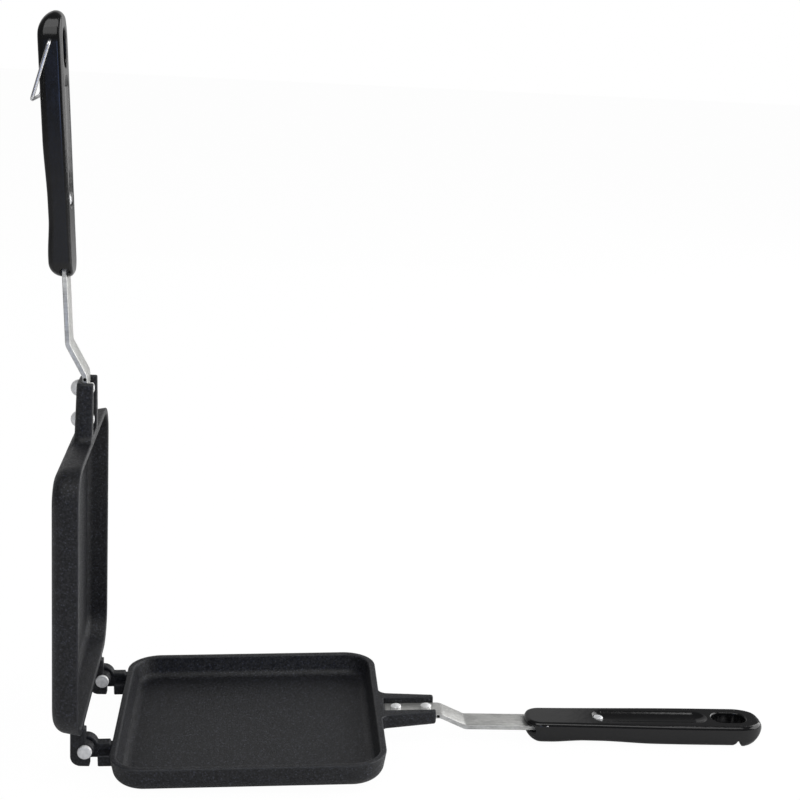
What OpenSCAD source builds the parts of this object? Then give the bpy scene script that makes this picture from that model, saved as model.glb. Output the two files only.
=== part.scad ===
// Hinged square pie iron: two shallow cast pans on a pair of pin hinges, each with a riveted strap and a
// moulded handle, and a wire bail that locks the two handles together. Units are millimetres.
// +Z is up, the lower handle points along +X, and the origin is the centre of the lower pan's flat
// underside. The iron stands open; the upper half swings about the hinge pins, which lie along Y.
// Each half is drawn in its own half frame: x runs out from the hinge axis towards the handle, and z is
// zero on the plane where the two pans meet and negative towards the outside of the iron.

/* [Pose] */
// Angle between the two halves as the iron stands open
open_angle = 87.8; // [75:0.1:100]

/* [Pans] */
// Length and width of each pan over its rim
pan_side = 146; // [120:1:180]
// Height of each pan from its rim to its flat outer face
pan_depth = 14.2; // [13:0.1:22]
// Thickness of the cooking floor
floor_t = 2.6; // [2:0.1:4]
// Width of the flat rim
rim_w = 3.5; // [3:0.1:5]
// Radius of the rim's outer corners
corner_r = 19; // [15:0.5:30]
// How far the outer wall draws in from the rim to the underside
outer_draft = 2.6; // [1:0.1:4]
// How far the cavity wall draws in from the rim to the floor
inner_draft = 3.2; // [1:0.1:4]
// Radius between the outer wall and the underside
base_r = 6; // [2:0.1:7]
// Radius between the cavity wall and the floor
cavity_r = 3.6; // [1:0.1:5]
// Rounding of the rim's edges
rim_round = 0.7; // [0.3:0.1:1]
// Gap left between the two rims when the iron is shut
shut_gap = 0.3; // [0.2:0.05:0.6]

/* [Hinges] */
// Distance from the pin axis to the pan's rim
hinge_reach = 13.2; // [12.5:0.1:18]
// Distance of each hinge from the middle of the pan
hinge_y = 44; // [30:0.5:50]
// How far the pin axis lies below the plane where the pans meet
pin_drop = 0.65; // [0:0.05:1]
// Thickness of each hinge ear
ear_t = 5.6; // [4:0.1:7]
// Side play between the two ears of a hinge
ear_play = 0.3; // [0.2:0.05:0.6]
// Radius of the rounded lower ear about the pin
knuckle_r = 6.3; // [5:0.1:7.5]
// Diameter of the hinge pin
pin_d = 4.8; // [4:0.1:6]
// Diameter of the pin's head
pin_head_d = 7.6; // [6.6:0.1:9]
// Height of the pin's head
pin_head_h = 2; // [1:0.1:3]

/* [Brackets] */
// Length of the riveting bracket beyond the rim
bracket_len = 30.5; // [30:0.5:45]
// Width of the bracket at its free end
bracket_w = 22.2; // [21:0.1:30]
// Width of the bracket where it meets the pan
bracket_root_w = 29.6; // [24:0.1:34]
// Depth of the bracket at its free end
bracket_end_h = 9; // [8.4:0.1:12]
// Rounding of the bracket's lower edges
bracket_round = 4; // [1:0.5:5]
// Depth of the bracket where it meets the pan
bracket_root_h = 9.8; // [9:0.1:13]
// Radius of the flare between bracket and pan
flare_r = 5.5; // [3:0.5:10]
// Distance of the inner rivet beyond the rim
rivet_1 = 8.6; // [7:0.1:12]
// Distance of the outer rivet beyond the rim
rivet_2 = 25.6; // [19:0.1:26]
// Diameter of the rivet shank
rivet_d = 4.8; // [3:0.1:6]

/* [Straps] */
// Width of the strap
strap_w = 15.8; // [10:0.1:16.2]
// Thickness of the strap
strap_t = 2.5; // [1.5:0.1:3]
// Depth of the strap's inner face below the plane where the pans meet
strap_sink = 3.6; // [3:0.1:4]
// How far the lower strap steps outwards between bracket and handle
lower_step = 7; // [5:0.1:12]
// How far the upper strap steps outwards between bracket and handle
upper_step = 8.9; // [5:0.1:12]
// Slope of the lower strap's step
lower_slope = 26.5; // [18:0.5:35]
// Slope of the upper strap's step
upper_slope = 28; // [18:0.5:35]
// Outward set of the lower handle against its pan
lower_set = 2.1; // [0:0.1:4]
// Outward set of the upper handle against its pan
upper_set = 2.6; // [0:0.1:4]
// Inside radius of the strap's bends
bend_r = 5; // [3:0.5:8]
// Diameter of the small notch in each edge of the strap beside the bracket
pilot_d = 1.4; // [1:0.1:2]

/* [Handles] */
// Distance from the rim to the front of the lower handle
handle_start = 81.8; // [75:0.1:100]
// Length of the lower handle
handle_len = 138; // [125:0.5:170]
// How much shorter the upper handle is, at its front
upper_trim = 3; // [0:0.1:4]
// How much shorter the upper handle is, at its tip
upper_tip_trim = 1; // [0:0.1:2]
// Width of the handle at its front
handle_w = 22.2; // [20.5:0.1:28]
// Width of the handle at the grip
grip_w = 26.3; // [23:0.1:32]
// Height of the handle's inner face above the middle of the strap
handle_in = 4.5; // [4.2:0.1:6]
// Depth of the handle's outer face below the middle of the strap, at the front
front_out = 7.7; // [6.5:0.1:10]
// Depth of the handle's outer face below the middle of the strap, at the waist
waist_out = 6.5; // [6.2:0.1:8]
// Depth of the handle's outer face below the middle of the strap, at the grip
grip_out = 7.5; // [6.8:0.1:10]
// How far the strap reaches into the handle
tang_len = 58; // [50:0.5:70]
// Distance of the handle screw from the front of the lower handle
screw_x = 42.8; // [35:0.1:45]
// Diameter of the handle screw
screw_d = 3; // [2.5:0.1:4]
// Start of the dished finger groove
groove_x = 39; // [37:0.5:50]
// Length of the finger groove
groove_len = 66.5; // [50:0.5:66.5]
// Width of the finger groove
groove_w = 14; // [10:0.5:16]
// Depth of the finger groove
groove_depth = 2.2; // [1.5:0.1:2.6]
// Distance from the handle's far end to the hang hole
hole_inset = 9.4; // [8:0.1:14]
// Length of the hang hole
hole_len = 19.7; // [16:0.1:20]
// Width of the hang hole
hole_w = 13; // [10:0.1:14]

/* [Latch] */
// Diameter of the bail wire
wire_d = 1.8; // [1.4:0.1:2.4]
// Distance from the handle's far end to the bail's pivot
pivot_inset = 15.7; // [12:0.1:17]
// Depth of the bail's pivot below the middle of the strap
pivot_drop = 1.2; // [0:0.1:2]
// Length of the bail from its pivot to its cross bar
bail_len = 29.7; // [24:0.1:36]
// Angle at which the bail hangs away from the handle
bail_hang = 19.2; // [16:0.1:24]
// Depth of the notch that holds the bail
notch_depth = 3.6; // [2:0.1:4]
// Radius of the bail's bends at the middle of the wire
bail_bend = 1.9; // [1.6:0.1:3]

/* [Fits] */
// Radial clearance of the hinge pins and of the bail in its holes
running_fit = 0.06; // [0.02:0.01:0.1]
// Clearance of rivets, screws and straps in their seats
seat_fit = 0.1; // [0.05:0.01:0.3]

/* [Hidden] */
$fn = 64;

// Cut-outs run this far past the faces they open.
cut = 1;
// A casting feature is sunk this far into the pan's wall.
root_sink = 2.8;

// Distance from the rim to the strap's end in the bracket
strap_back = 2;

// Places in the half frame
rim_z = -shut_gap / 2;
rim_end = hinge_reach + pan_side;
hinge_stack = 2 * ear_t + ear_play;
bracket_end = rim_end + bracket_len;
strap_mid_z = -strap_sink - strap_t / 2;

// Row frame places of the hinge axis and of the plane where the pans meet
axis_x = -(pan_side / 2 + hinge_reach);
meet_z = pan_depth + shut_gap / 2;

// Hinge ear sizes, all measured from the pin axis
lug_out = 7.7;
lug_in = 2.5;
lug_neck = 0.4;
lug_boss_r = 4.6;
lug_nose = 8.6;
lug_corner_r = 5.4;
lug_wall_gap = 0.6;
bar_top = 1.8;
bar_bottom = 6.5;
root_bottom = 9;
lower_root_x = 6.4;
upper_root_x = 8;
pin_tail_d = pin_head_d - 1.2;
pin_tail_h = 1.1;

// Rivet heads: a full dome on the outside, a flatter one on the strap
dome_d = 1.85 * rivet_d;
dome_h = 4.2;
closing_d = 1.28 * rivet_d;
closing_h = 3.1;
closing_edge_h = 2.2;

// The two halves differ a little: their values stand in pairs, the lower half's first.
LOWER = 0;
UPPER = 1;
steps = [lower_step, upper_step];
slopes = [lower_slope, upper_slope];
sets = [lower_set, upper_set];
fronts = [0, upper_trim];
tips = [handle_len, handle_len - upper_tip_trim];

// Strap line: the two corners of the step, and the handle frame's place on the strap
bend_mid_r = bend_r + strap_t / 2;
step_x1 = bracket_end + 3;
handle_x = rim_end + handle_start;
function step_end(half) = step_x1 + steps[half] / tan(slopes[half]);
function handle_z(half) =
    strap_mid_z - steps[half] - (handle_x - step_end(half)) * tan(sets[half]);

// Handle details, measured from the front of the lower handle and the middle of the strap
front_round = 9.5;
rear_round = 15;
hooks = [0.6, 0];
inner_edge_r = 2.4;
outer_edge_r = 3.2;
corner_steps = 5;
mouth_len = 5.5;
mouth_h = strap_t + 0.9;
head_d = 1.8 * screw_d;
head_h = 2;
nut_across = 1.85 * screw_d;
nut_h = 2.4;
screw_seat = handle_in - groove_depth + 0.1;
nut_seat = -waist_out + 0.6 + nut_h;
set_pin_x = 12;
set_pin_d = 1.8;
set_pin_len = 6;
set_pin_z = (strap_t + set_pin_d) / 2 + 0.03;
hole_x = handle_len - hole_inset - hole_len / 2;
pivot_x = handle_len - pivot_inset;

// Bail: legs beside the handle, wire ends turned into the handle's side walls
leg_y = round(100 * half_width(pivot_x, UPPER)) / 100 + 0.1 + bail_bend;
bail_end_y = hole_w / 2 + 0.7;

// Points of an arc of radius r about [cx, cy], from angle a to angle b in n steps
function arc(cx, cy, r, a, b, n) =
    [for (i = [0:n]) let (t = a + (b - a) * i / n) [cx + r * cos(t), cy + r * sin(t)]];

// Rises from 0 at t = 0 to 1 at t = 1 along a quarter circle
function quarter(t) = let (u = 1 - min(max(t, 0), 1)) sqrt(1 - u * u);

// Rises smoothly from 0 at a to 1 at b
function ease(a, b, x) = let (t = min(max((x - a) / (b - a), 0), 1)) t * t * (3 - 2 * t);

// Centre of an arc of radius r that touches a wall leaning at angle lean, and the level z
function fillet_x(x0, r, z, lean) = x0 + (-r + z * sin(lean)) / cos(lean);

module place_lower() {
    translate([axis_x, 0, meet_z]) children();
}

module place_upper() {
    translate([axis_x, 0, meet_z - pin_drop])
        rotate([0, -open_angle, 0]) translate([0, 0, pin_drop]) rotate([180, 0, 0]) children();
}

module in_handle_frame(half) {
    translate([handle_x, 0, handle_z(half)]) rotate([0, sets[half], 0]) children();
}

// ---- Pans ----

// Section of wall and floor at a corner: x is measured from the corner's centre, z from the rim
module wall_section() {
    out_lean = atan(outer_draft / pan_depth);
    in_depth = pan_depth - floor_t;
    in_lean = atan(inner_draft / in_depth);
    in_x = corner_r - rim_w;
    base_z = -pan_depth + base_r;
    base_x = fillet_x(corner_r, base_r, base_z, out_lean);
    cave_z = -in_depth + cavity_r;
    cave_x = in_x + (-cavity_r + cave_z * sin(in_lean)) / cos(in_lean);
    polygon(concat(
        [[0, -pan_depth]],
        arc(base_x, base_z, base_r, -90, -out_lean, 6),
        arc(corner_r - rim_round, -rim_round, rim_round, 0, 90, 3),
        arc(in_x + rim_round, -rim_round, rim_round, 90, 180 - in_lean, 3),
        arc(cave_x, cave_z, cavity_r, -in_lean, -90, 5),
        [[0, -in_depth]]
    ));
}

module tray() {
    inner = pan_side / 2 - corner_r;
    for (turn = [0:90:270]) rotate([0, 0, turn]) {
        translate([inner, inner, 0]) rotate_extrude(angle = 90) wall_section();
        translate([inner, 0, 0]) rotate([90, 0, 0])
            linear_extrude(2 * inner, center = true) wall_section();
    }
    translate([-inner, -inner, -pan_depth]) cube([2 * inner, 2 * inner, floor_t]);
}

// Plate of an outline drawn in x and z, standing across the half between two y positions
module slab_xz(y0, y1) {
    translate([0, y1, 0]) rotate([90, 0, 0]) linear_extrude(y1 - y0) children();
}

// Outline of the bracket seen from above: a tapering tongue that flares into the pan's wall
module bracket_plan() {
    taper = atan((bracket_root_w - bracket_w) / 2 / bracket_len);
    cx = rim_end + flare_r;
    cy = bracket_root_w / 2 - flare_r * tan(taper) + flare_r / cos(taper);
    nose_r = 0.8;
    half = concat(
        [[rim_end - root_sink, cy], [rim_end, cy]],
        arc(cx, cy, flare_r, 180, 270 - taper, 6),
        arc(bracket_end - nose_r, bracket_w / 2 - nose_r, nose_r, 90, 0, 3)
    );
    polygon(concat(half, [for (i = [len(half) - 1:-1:0]) [half[i][0], -half[i][1]]]));
}

// Bar that takes the corner off one lower edge of the bracket, from the flare out past its free end
module bracket_edge_cut(side) {
    taper = atan((bracket_root_w - bracket_w) / 2 / bracket_len);
    slope = atan((bracket_root_h - bracket_end_h) / bracket_len);
    run = bracket_len - flare_r;
    r = bracket_round;
    translate([bracket_end, side * bracket_w / 2, -bracket_end_h])
        rotate([0, 0, -side * taper]) rotate([0, -slope, 0])
            translate([-run, 0, 0]) rotate([90, 0, 90]) linear_extrude(run + cut) difference() {
                translate([side > 0 ? -r : -cut, -cut]) square([r + cut, r + cut]);
                translate([-side * r, r]) circle(r);
            }
}

module bracket() {
    wide = bracket_root_w + 2 * flare_r;
    intersection() {
        translate([0, 0, -bracket_root_h]) linear_extrude(bracket_root_h + rim_z) bracket_plan();
        slab_xz(-wide, wide)
            polygon(concat(
                [[rim_end - root_sink, rim_z], [rim_end - root_sink, -bracket_root_h],
                 [rim_end, -bracket_root_h]],
                arc(bracket_end - 2.5, -bracket_end_h + 2.5, 2.5, -90, 0, 4),
                arc(bracket_end - 0.6, rim_z - 0.6, 0.6, 0, 90, 2)
            ));
    }
}

module bracket_cuts() {
    channel_w = strap_w + 2 * seat_fit;
    floor_z = -strap_sink - strap_t;
    seat_z = -bracket_end_h + 0.2;
    translate([rim_end + strap_back - seat_fit, -channel_w / 2, floor_z])
        cube([bracket_len + cut, channel_w, cut - floor_z]);
    for (side = [-1, 1]) bracket_edge_cut(side);
    for (x = [rivet_1, rivet_2]) translate([rim_end + x, 0, 0]) {
        translate([0, 0, seat_z - cut]) cylinder(d = rivet_d + 2 * seat_fit, h = floor_z - seat_z + 2 * cut);
        // Flat seat for the dome head on the sloping underside
        translate([0, 0, -bracket_root_h - cut])
            cylinder(d = dome_d + 2 * seat_fit, h = seat_z + bracket_root_h + cut);
    }
}

module pin_bore(axis_z) {
    for (side = [-1, 1])
        translate([0, side * hinge_y, axis_z]) rotate([90, 0, 0])
            cylinder(d = pin_d + 2 * running_fit, h = hinge_stack + 2 * cut, center = true);
}

// The lower ears: a rounded tongue on the +Y side of each hinge, and a stop block beside it
module lower_ears() {
    axis_z = -pin_drop;
    wall_x = hinge_reach + root_sink;
    shoulder_x = hinge_reach - lug_wall_gap;
    shoulder_z = rim_z - axis_z - 0.1;
    for (side = [-1, 1]) translate([0, side * hinge_y, axis_z]) {
        slab_xz(ear_play / 2, hinge_stack / 2) {
            circle(knuckle_r);
            polygon([[0, -bar_bottom], [wall_x, -bar_bottom], [wall_x, shoulder_z],
                     [shoulder_x, shoulder_z], [shoulder_x, bar_top], [0, bar_top]]);
            translate([upper_root_x, -root_bottom]) square([wall_x - upper_root_x, root_bottom - 1]);
        }
        slab_xz(-hinge_stack / 2, ear_play / 2)
            polygon([[lower_root_x, -root_bottom], [wall_x, -root_bottom],
                     [wall_x, -lug_in - 0.3], [lower_root_x, -lug_in - 0.3]]);
    }
}

// The upper ears: on the +Y side in the half frame a square-footed lug with a round boss about the pin and a
// narrower neck up to the wall, and beside it a root
module upper_ears() {
    axis_z = pin_drop;
    wall_x = hinge_reach + root_sink;
    foot_x = hinge_reach - lug_wall_gap;
    for (side = [-1, 1]) translate([0, side * hinge_y, axis_z]) {
        slab_xz(ear_play / 2, hinge_stack / 2) {
            circle(lug_boss_r);
            polygon(concat(
                [[wall_x, -axis_z + rim_z - 0.1], [foot_x, -axis_z + rim_z - 0.1],
                 [foot_x, lug_neck], [0, lug_neck], [0, lug_in], [-lug_nose, lug_in]],
                arc(-lug_nose + lug_corner_r, -lug_out + lug_corner_r, lug_corner_r, 180, 270, 6),
                [[wall_x, -lug_out]]
            ));
        }
        slab_xz(-hinge_stack / 2, ear_play / 2)
            polygon([[upper_root_x, -lug_out], [wall_x, -lug_out],
                     [wall_x, -bar_top - 0.4], [upper_root_x, -bar_top - 0.4]]);
    }
}

module pan_body() {
    translate([hinge_reach + pan_side / 2, 0, rim_z]) tray();
}

module lower_pan() {
    color("#26262a") place_lower() difference() {
        union() {
            pan_body();
            bracket();
            lower_ears();
        }
        bracket_cuts();
        pin_bore(-pin_drop);
    }
}

module upper_pan() {
    color("#26262a") place_upper() difference() {
        union() {
            pan_body();
            bracket();
            upper_ears();
        }
        bracket_cuts();
        pin_bore(pin_drop);
    }
}

// ---- Hinge pins ----

// Turned pin with a low domed head on the -Y side and a peened tail on the +Y side
module hinge_pin(side) {
    half = hinge_stack / 2;
    head = half + running_fit;
    color("#c9cbce") place_lower()
        translate([0, side * hinge_y, -pin_drop]) rotate([-90, 0, 0]) rotate_extrude()
            polygon(concat(
                [[0, -head - pin_head_h], [pin_head_d / 2 - 0.8, -head - pin_head_h]],
                arc(pin_head_d / 2 - 0.8, -head - pin_head_h + 0.8, 0.8, -60, 0, 3),
                [[pin_head_d / 2, -head], [pin_d / 2, -head], [pin_d / 2, half],
                 [pin_tail_d / 2, half], [pin_tail_d / 2, half + pin_tail_h - 0.5],
                 [pin_tail_d / 2 - 0.6, half + pin_tail_h], [0, half + pin_tail_h]]
            ));
}

// ---- Straps and rivets ----

// Side view of the strap: level in the bracket, down the step, then along the handle
module strap_outline(half) {
    t = strap_t / 2;
    slope = slopes[half];
    set_out = sets[half];
    back = bend_mid_r * tan((slope - set_out) / 2);
    c1 = [step_x1 - bend_mid_r * tan(slope / 2), strap_mid_z - bend_mid_r];
    c2 = [step_end(half) - back * cos(slope) + bend_mid_r * sin(slope),
          strap_mid_z - steps[half] + back * sin(slope) + bend_mid_r * cos(slope)];
    start_x = rim_end + strap_back;
    end_x = handle_x + tang_len * cos(set_out);
    end_z = handle_z(half) - tang_len * sin(set_out);
    a2 = -90 - slope;
    a3 = -90 - set_out;
    polygon(concat(
        [[start_x, strap_mid_z + t]],
        arc(c1[0], c1[1], bend_mid_r + t, 90, 90 - slope, 5),
        arc(c2[0], c2[1], bend_mid_r - t, a2, a3, 5),
        [[end_x + t * sin(set_out), end_z + t * cos(set_out)],
         [end_x - t * sin(set_out), end_z - t * cos(set_out)]],
        arc(c2[0], c2[1], bend_mid_r + t, a3, a2, 5),
        arc(c1[0], c1[1], bend_mid_r - t, 90 - slope, 90, 5),
        [[start_x, strap_mid_z - t]]
    ));
}

module strap(half) {
    difference() {
        slab_xz(-strap_w / 2, strap_w / 2) strap_outline(half);
        for (x = [rivet_1, rivet_2])
            translate([rim_end + x, 0, strap_mid_z])
                cylinder(d = rivet_d + 2 * seat_fit, h = 2 * strap_t, center = true);
        for (side = [-1, 1])
            translate([bracket_end + 1.5, side * strap_w / 2, strap_mid_z]) rotate([90, 0, 0])
                cylinder(d = pilot_d, h = 2.4, center = true);
        in_handle_frame(half) translate([screw_x, 0, 0])
            cylinder(d = screw_d + 2 * seat_fit, h = 2 * strap_t, center = true);
    }
}

module lower_strap() {
    color("#b9bab8") place_lower() strap(LOWER);
}

module upper_strap() {
    color("#b9bab8") place_upper() strap(UPPER);
}

// Rivet standing on z = 0 at the bracket's seat: dome below, shank, and closing head on the strap
module rivet(x) {
    seat_z = -bracket_end_h + 0.2;
    top_z = -strap_sink;
    dome_r = (dome_d * dome_d / 4 + dome_h * dome_h) / (2 * dome_h);
    dome_a = asin(dome_d / 2 / dome_r);
    crown_h = closing_h - closing_edge_h;
    crown_r = (closing_d * closing_d / 4 + crown_h * crown_h) / (2 * crown_h);
    crown_a = asin(closing_d / 2 / crown_r);
    translate([rim_end + x, 0, 0]) rotate_extrude()
        polygon(concat(
            arc(0, seat_z - dome_h + dome_r, dome_r, -90, -90 + dome_a, 6),
            [[rivet_d / 2, seat_z], [rivet_d / 2, top_z], [closing_d / 2, top_z]],
            arc(0, top_z + closing_h - crown_r, crown_r, 90 - crown_a, 90, 6)
        ));
}

module lower_inner_rivet() {
    color("#d3d4d4") place_lower() rivet(rivet_1);
}

module lower_outer_rivet() {
    color("#d3d4d4") place_lower() rivet(rivet_2);
}

module upper_inner_rivet() {
    color("#d3d4d4") place_upper() rivet(rivet_1);
}

module upper_outer_rivet() {
    color("#d3d4d4") place_upper() rivet(rivet_2);
}

// ---- Handles ----

// Half width and the two faces of a handle at place s along it
function front_cap(s, half, run) = quarter((s - fronts[half] + 0.25) / (run + 0.25));
function rear_cap(s, half, run) = quarter((tips[half] - s + 0.25) / (run + 0.25));
function half_width(s, half) =
    (handle_w + (grip_w - handle_w) * ease(0, 0.75 * handle_len, s)) / 2
    * front_cap(s, half, front_round) * rear_cap(s, half, rear_round);
// The outer face slants up to the tip; the lower handle's has a low hook just behind its notch
function outer_face(s, half) = front_cap(s, half, 9) * pow(rear_cap(s, half, 11.5), 1.5)
    * (waist_out + (front_out - waist_out) * (1 - ease(14, screw_x - 8, s))
       + (grip_out - waist_out) * ease(screw_x, screw_x + 32, s)
       + hooks[half] * ease(pivot_x - 3, pivot_x + 4, s));
function inner_face(s, half) = handle_in * front_cap(s, half, 3) * rear_cap(s, half, 4.5);

// Quarter of a ring: a rounded corner of radius r on a half section y by z
function ring_corner(s, y, z, r, a, b, flip_y, flip_z) = let (q = min(r, y / 2, z / 2))
    [for (i = [0:corner_steps]) let (t = a + (b - a) * i / corner_steps)
        [s, flip_y * (y - q + q * cos(t)), flip_z * (z - q + q * sin(t))]];

// Rounded oblong ring of the handle at place s, running from +y over the inner face and round
function ring(s, half) = let (
    y = half_width(s, half), t = inner_face(s, half), b = outer_face(s, half)) concat(
    ring_corner(s, y, t, inner_edge_r, 0, 90, 1, 1), ring_corner(s, y, t, inner_edge_r, 90, 0, -1, 1),
    ring_corner(s, y, b, outer_edge_r, 0, 90, -1, -1), ring_corner(s, y, b, outer_edge_r, 90, 0, 1, -1));

module handle_body(half) {
    nose = [for (i = [0:5]) fronts[half] + front_round * (1 - cos(18 * i))];
    waist = screw_x - 8;
    grip = screw_x + 32;
    shaft = [14, 21, 28, waist, screw_x, screw_x + 8, screw_x + 16, screw_x + 24, grip, 100, pivot_x - 3];
    tail = [for (i = [0:8]) tips[half] - rear_round * (1 - sin(11.25 * i))];
    stations = concat(nose, shaft, tail);
    last = len(stations) - 1;
    n = 4 * (corner_steps + 1);
    points = [for (s = stations) each ring(s, half)];
    sides = [for (k = [0:last - 1], i = [0:n - 1])
        let (a = k * n + i, b = k * n + (i + 1) % n) each [[a, a + n, b], [b, a + n, b + n]]];
    caps = [[for (i = [0:n - 1]) i], [for (i = [n - 1:-1:0]) last * n + i]];
    polyhedron(points, concat(sides, caps), convexity = 4);
}

module finger_groove() {
    groove_r = (groove_w * groove_w / 4 + groove_depth * groove_depth) / (2 * groove_depth);
    first = groove_x + groove_w / 2;
    last = groove_x + groove_len - groove_w / 2;
    translate([0, 0, handle_in - groove_depth + groove_r]) {
        translate([first, 0, 0]) rotate([0, 90, 0]) cylinder(r = groove_r, h = last - first);
        for (x = [first, last]) translate([x, 0, 0]) sphere(r = groove_r);
    }
}

module hang_hole() {
    run = hole_len - hole_w;
    deep = handle_in + grip_out + 2 * cut;
    translate([hole_x, 0, -grip_out - cut]) {
        for (end = [-1, 1]) translate([end * run / 2, 0, 0]) cylinder(d = hole_w, h = deep);
        translate([-run / 2, -hole_w / 2, 0]) cube([run, hole_w, deep]);
    }
}

// Everything cut out of both handles
module handle_cuts(half) {
    f = fronts[half];
    pocket_w = strap_w + 2 * seat_fit;
    pocket_h = strap_t + 2 * seat_fit;
    translate([-cut, -pocket_w / 2, -pocket_h / 2]) cube([tang_len + cut + seat_fit, pocket_w, pocket_h]);
    translate([f - cut, -grip_w / 2, -mouth_h / 2]) cube([mouth_len + cut, grip_w, mouth_h]);
    finger_groove();
    hang_hole();
    translate([screw_x, 0, 0]) {
        translate([0, 0, nut_seat - cut])
            cylinder(d = screw_d + 2 * seat_fit, h = screw_seat - nut_seat + 2 * cut);
        translate([0, 0, screw_seat]) cylinder(d = head_d + 0.8, h = handle_in);
        translate([0, 0, -grip_out - cut])
            cylinder(d = (nut_across + 2 * seat_fit) / cos(30), h = nut_seat + grip_out + cut, $fn = 6);
    }
    translate([f + set_pin_x, -half_width(f + set_pin_x, half) - cut, set_pin_z]) rotate([-90, 0, 0])
        cylinder(d = set_pin_d + 0.04, h = cut + set_pin_len + seat_fit);
}

// Hooked cross notch in the outer face: steep towards the handle's end, sloping towards the pan
module bail_notch() {
    r = wire_d / 2 + 0.1;
    top = -grip_out + notch_depth;
    slab_xz(-grip_w, grip_w) {
        translate([pivot_x, top - r]) circle(r);
        polygon([[pivot_x - r, top - r], [pivot_x + r, top - r],
                 [pivot_x + r + 1.6, -grip_out - cut], [pivot_x - r - 2.8, -grip_out - cut]]);
    }
}

module lower_handle() {
    color("#141416") place_lower() in_handle_frame(LOWER) difference() {
        handle_body(LOWER);
        handle_cuts(LOWER);
        bail_notch();
    }
}

module upper_handle() {
    color("#141416") place_upper() in_handle_frame(UPPER) difference() {
        handle_body(UPPER);
        handle_cuts(UPPER);
        translate([pivot_x, 0, -pivot_drop]) rotate([90, 0, 0])
            cylinder(d = wire_d + 2 * running_fit, h = grip_w + 2 * cut, center = true);
    }
}

// Short pin pressed in from one side of the handle, bearing on the strap's inner face
module set_pin(half) {
    x = fronts[half] + set_pin_x;
    in_handle_frame(half) translate([x, 0.05 - half_width(x, half), set_pin_z])
        rotate([-90, 0, 0]) cylinder(d = set_pin_d, h = set_pin_len - 0.05);
}

module lower_set_pin() {
    color("#d3d4d4") place_lower() set_pin(LOWER);
}

module upper_set_pin() {
    color("#d3d4d4") place_upper() set_pin(UPPER);
}

// ---- Handle screws and nuts ----

module handle_screw(half) {
    slot_w = 0.9;
    in_handle_frame(half) translate([screw_x, 0, 0]) difference() {
        union() {
            translate([0, 0, nut_seat - nut_h]) cylinder(d = screw_d, h = screw_seat - nut_seat + nut_h);
            translate([0, 0, screw_seat]) cylinder(d = head_d, h = head_h);
        }
        translate([-head_d, -slot_w / 2, screw_seat + head_h / 2]) cube([2 * head_d, slot_w, head_h]);
    }
}

module handle_nut(half) {
    in_handle_frame(half) translate([screw_x, 0, nut_seat - nut_h]) difference() {
        cylinder(d = nut_across / cos(30), h = nut_h, $fn = 6);
        translate([0, 0, -cut]) cylinder(d = screw_d + seat_fit, h = nut_h + 2 * cut);
    }
}

module lower_handle_screw() {
    color("#c2c4c6") place_lower() handle_screw(LOWER);
}

module upper_handle_screw() {
    color("#c2c4c6") place_upper() handle_screw(UPPER);
}

module lower_handle_nut() {
    color("#c2c4c6") place_lower() handle_nut(LOWER);
}

module upper_handle_nut() {
    color("#c2c4c6") place_upper() handle_nut(UPPER);
}

// ---- Latch bail ----

module wire(length) {
    cylinder(d = wire_d, h = length);
}

// Quarter bend of the wire from +z into +x, about a centre at [bail_bend, 0, 0]
module wire_bend() {
    translate([bail_bend, 0, 0]) rotate([90, 0, 0]) rotate([0, 0, 90])
        rotate_extrude(angle = 90) translate([bail_bend, 0]) circle(d = wire_d);
}

// One side of the bail, drawn with its pivot at the origin and its leg along -x
module bail_side() {
    inner = leg_y - bail_bend - bail_end_y;
    translate([0, bail_end_y, 0]) rotate([-90, 0, 0]) wire(inner);
    translate([0, leg_y - bail_bend, 0]) rotate([-90, 0, 0]) rotate([0, 0, 180]) wire_bend();
    translate([-bail_bend, leg_y, 0]) rotate([0, -90, 0]) wire(bail_len - 2 * bail_bend);
    translate([bail_bend - bail_len, leg_y, 0]) rotate([0, -90, 0]) rotate([0, 0, -90]) wire_bend();
    translate([-bail_len, leg_y - bail_bend, 0]) rotate([90, 0, 0]) wire(leg_y - bail_bend);
}

module latch_bail() {
    color("#c6c8ca") place_upper() in_handle_frame(UPPER) translate([pivot_x, 0, -pivot_drop])
        rotate([0, -bail_hang, 0]) {
            bail_side();
            mirror([0, 1, 0]) bail_side();
        }
}

lower_pan();
upper_pan();
hinge_pin(-1);  // front_hinge_pin
hinge_pin(1);  // rear_hinge_pin
lower_strap();
upper_strap();
lower_inner_rivet();
lower_outer_rivet();
upper_inner_rivet();
upper_outer_rivet();
lower_handle();
upper_handle();
lower_handle_screw();
upper_handle_screw();
lower_handle_nut();
upper_handle_nut();
lower_set_pin();
upper_set_pin();
latch_bail();
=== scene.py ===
"""Hinged square pie iron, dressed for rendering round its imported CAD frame.

Sizes are in millimetres until a mesh is made; the meshes are in metres in the row frame.
Each half is drawn in its own half frame: x runs out from the hinge axis towards the handle, and z is
zero on the plane where the two pans meet and negative towards the outside of the iron.
"""

import logging
import math
from dataclasses import dataclass, field
from enum import Enum
from typing import Callable, Sequence

import bpy
import numpy as np
from mathutils import Matrix


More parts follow.
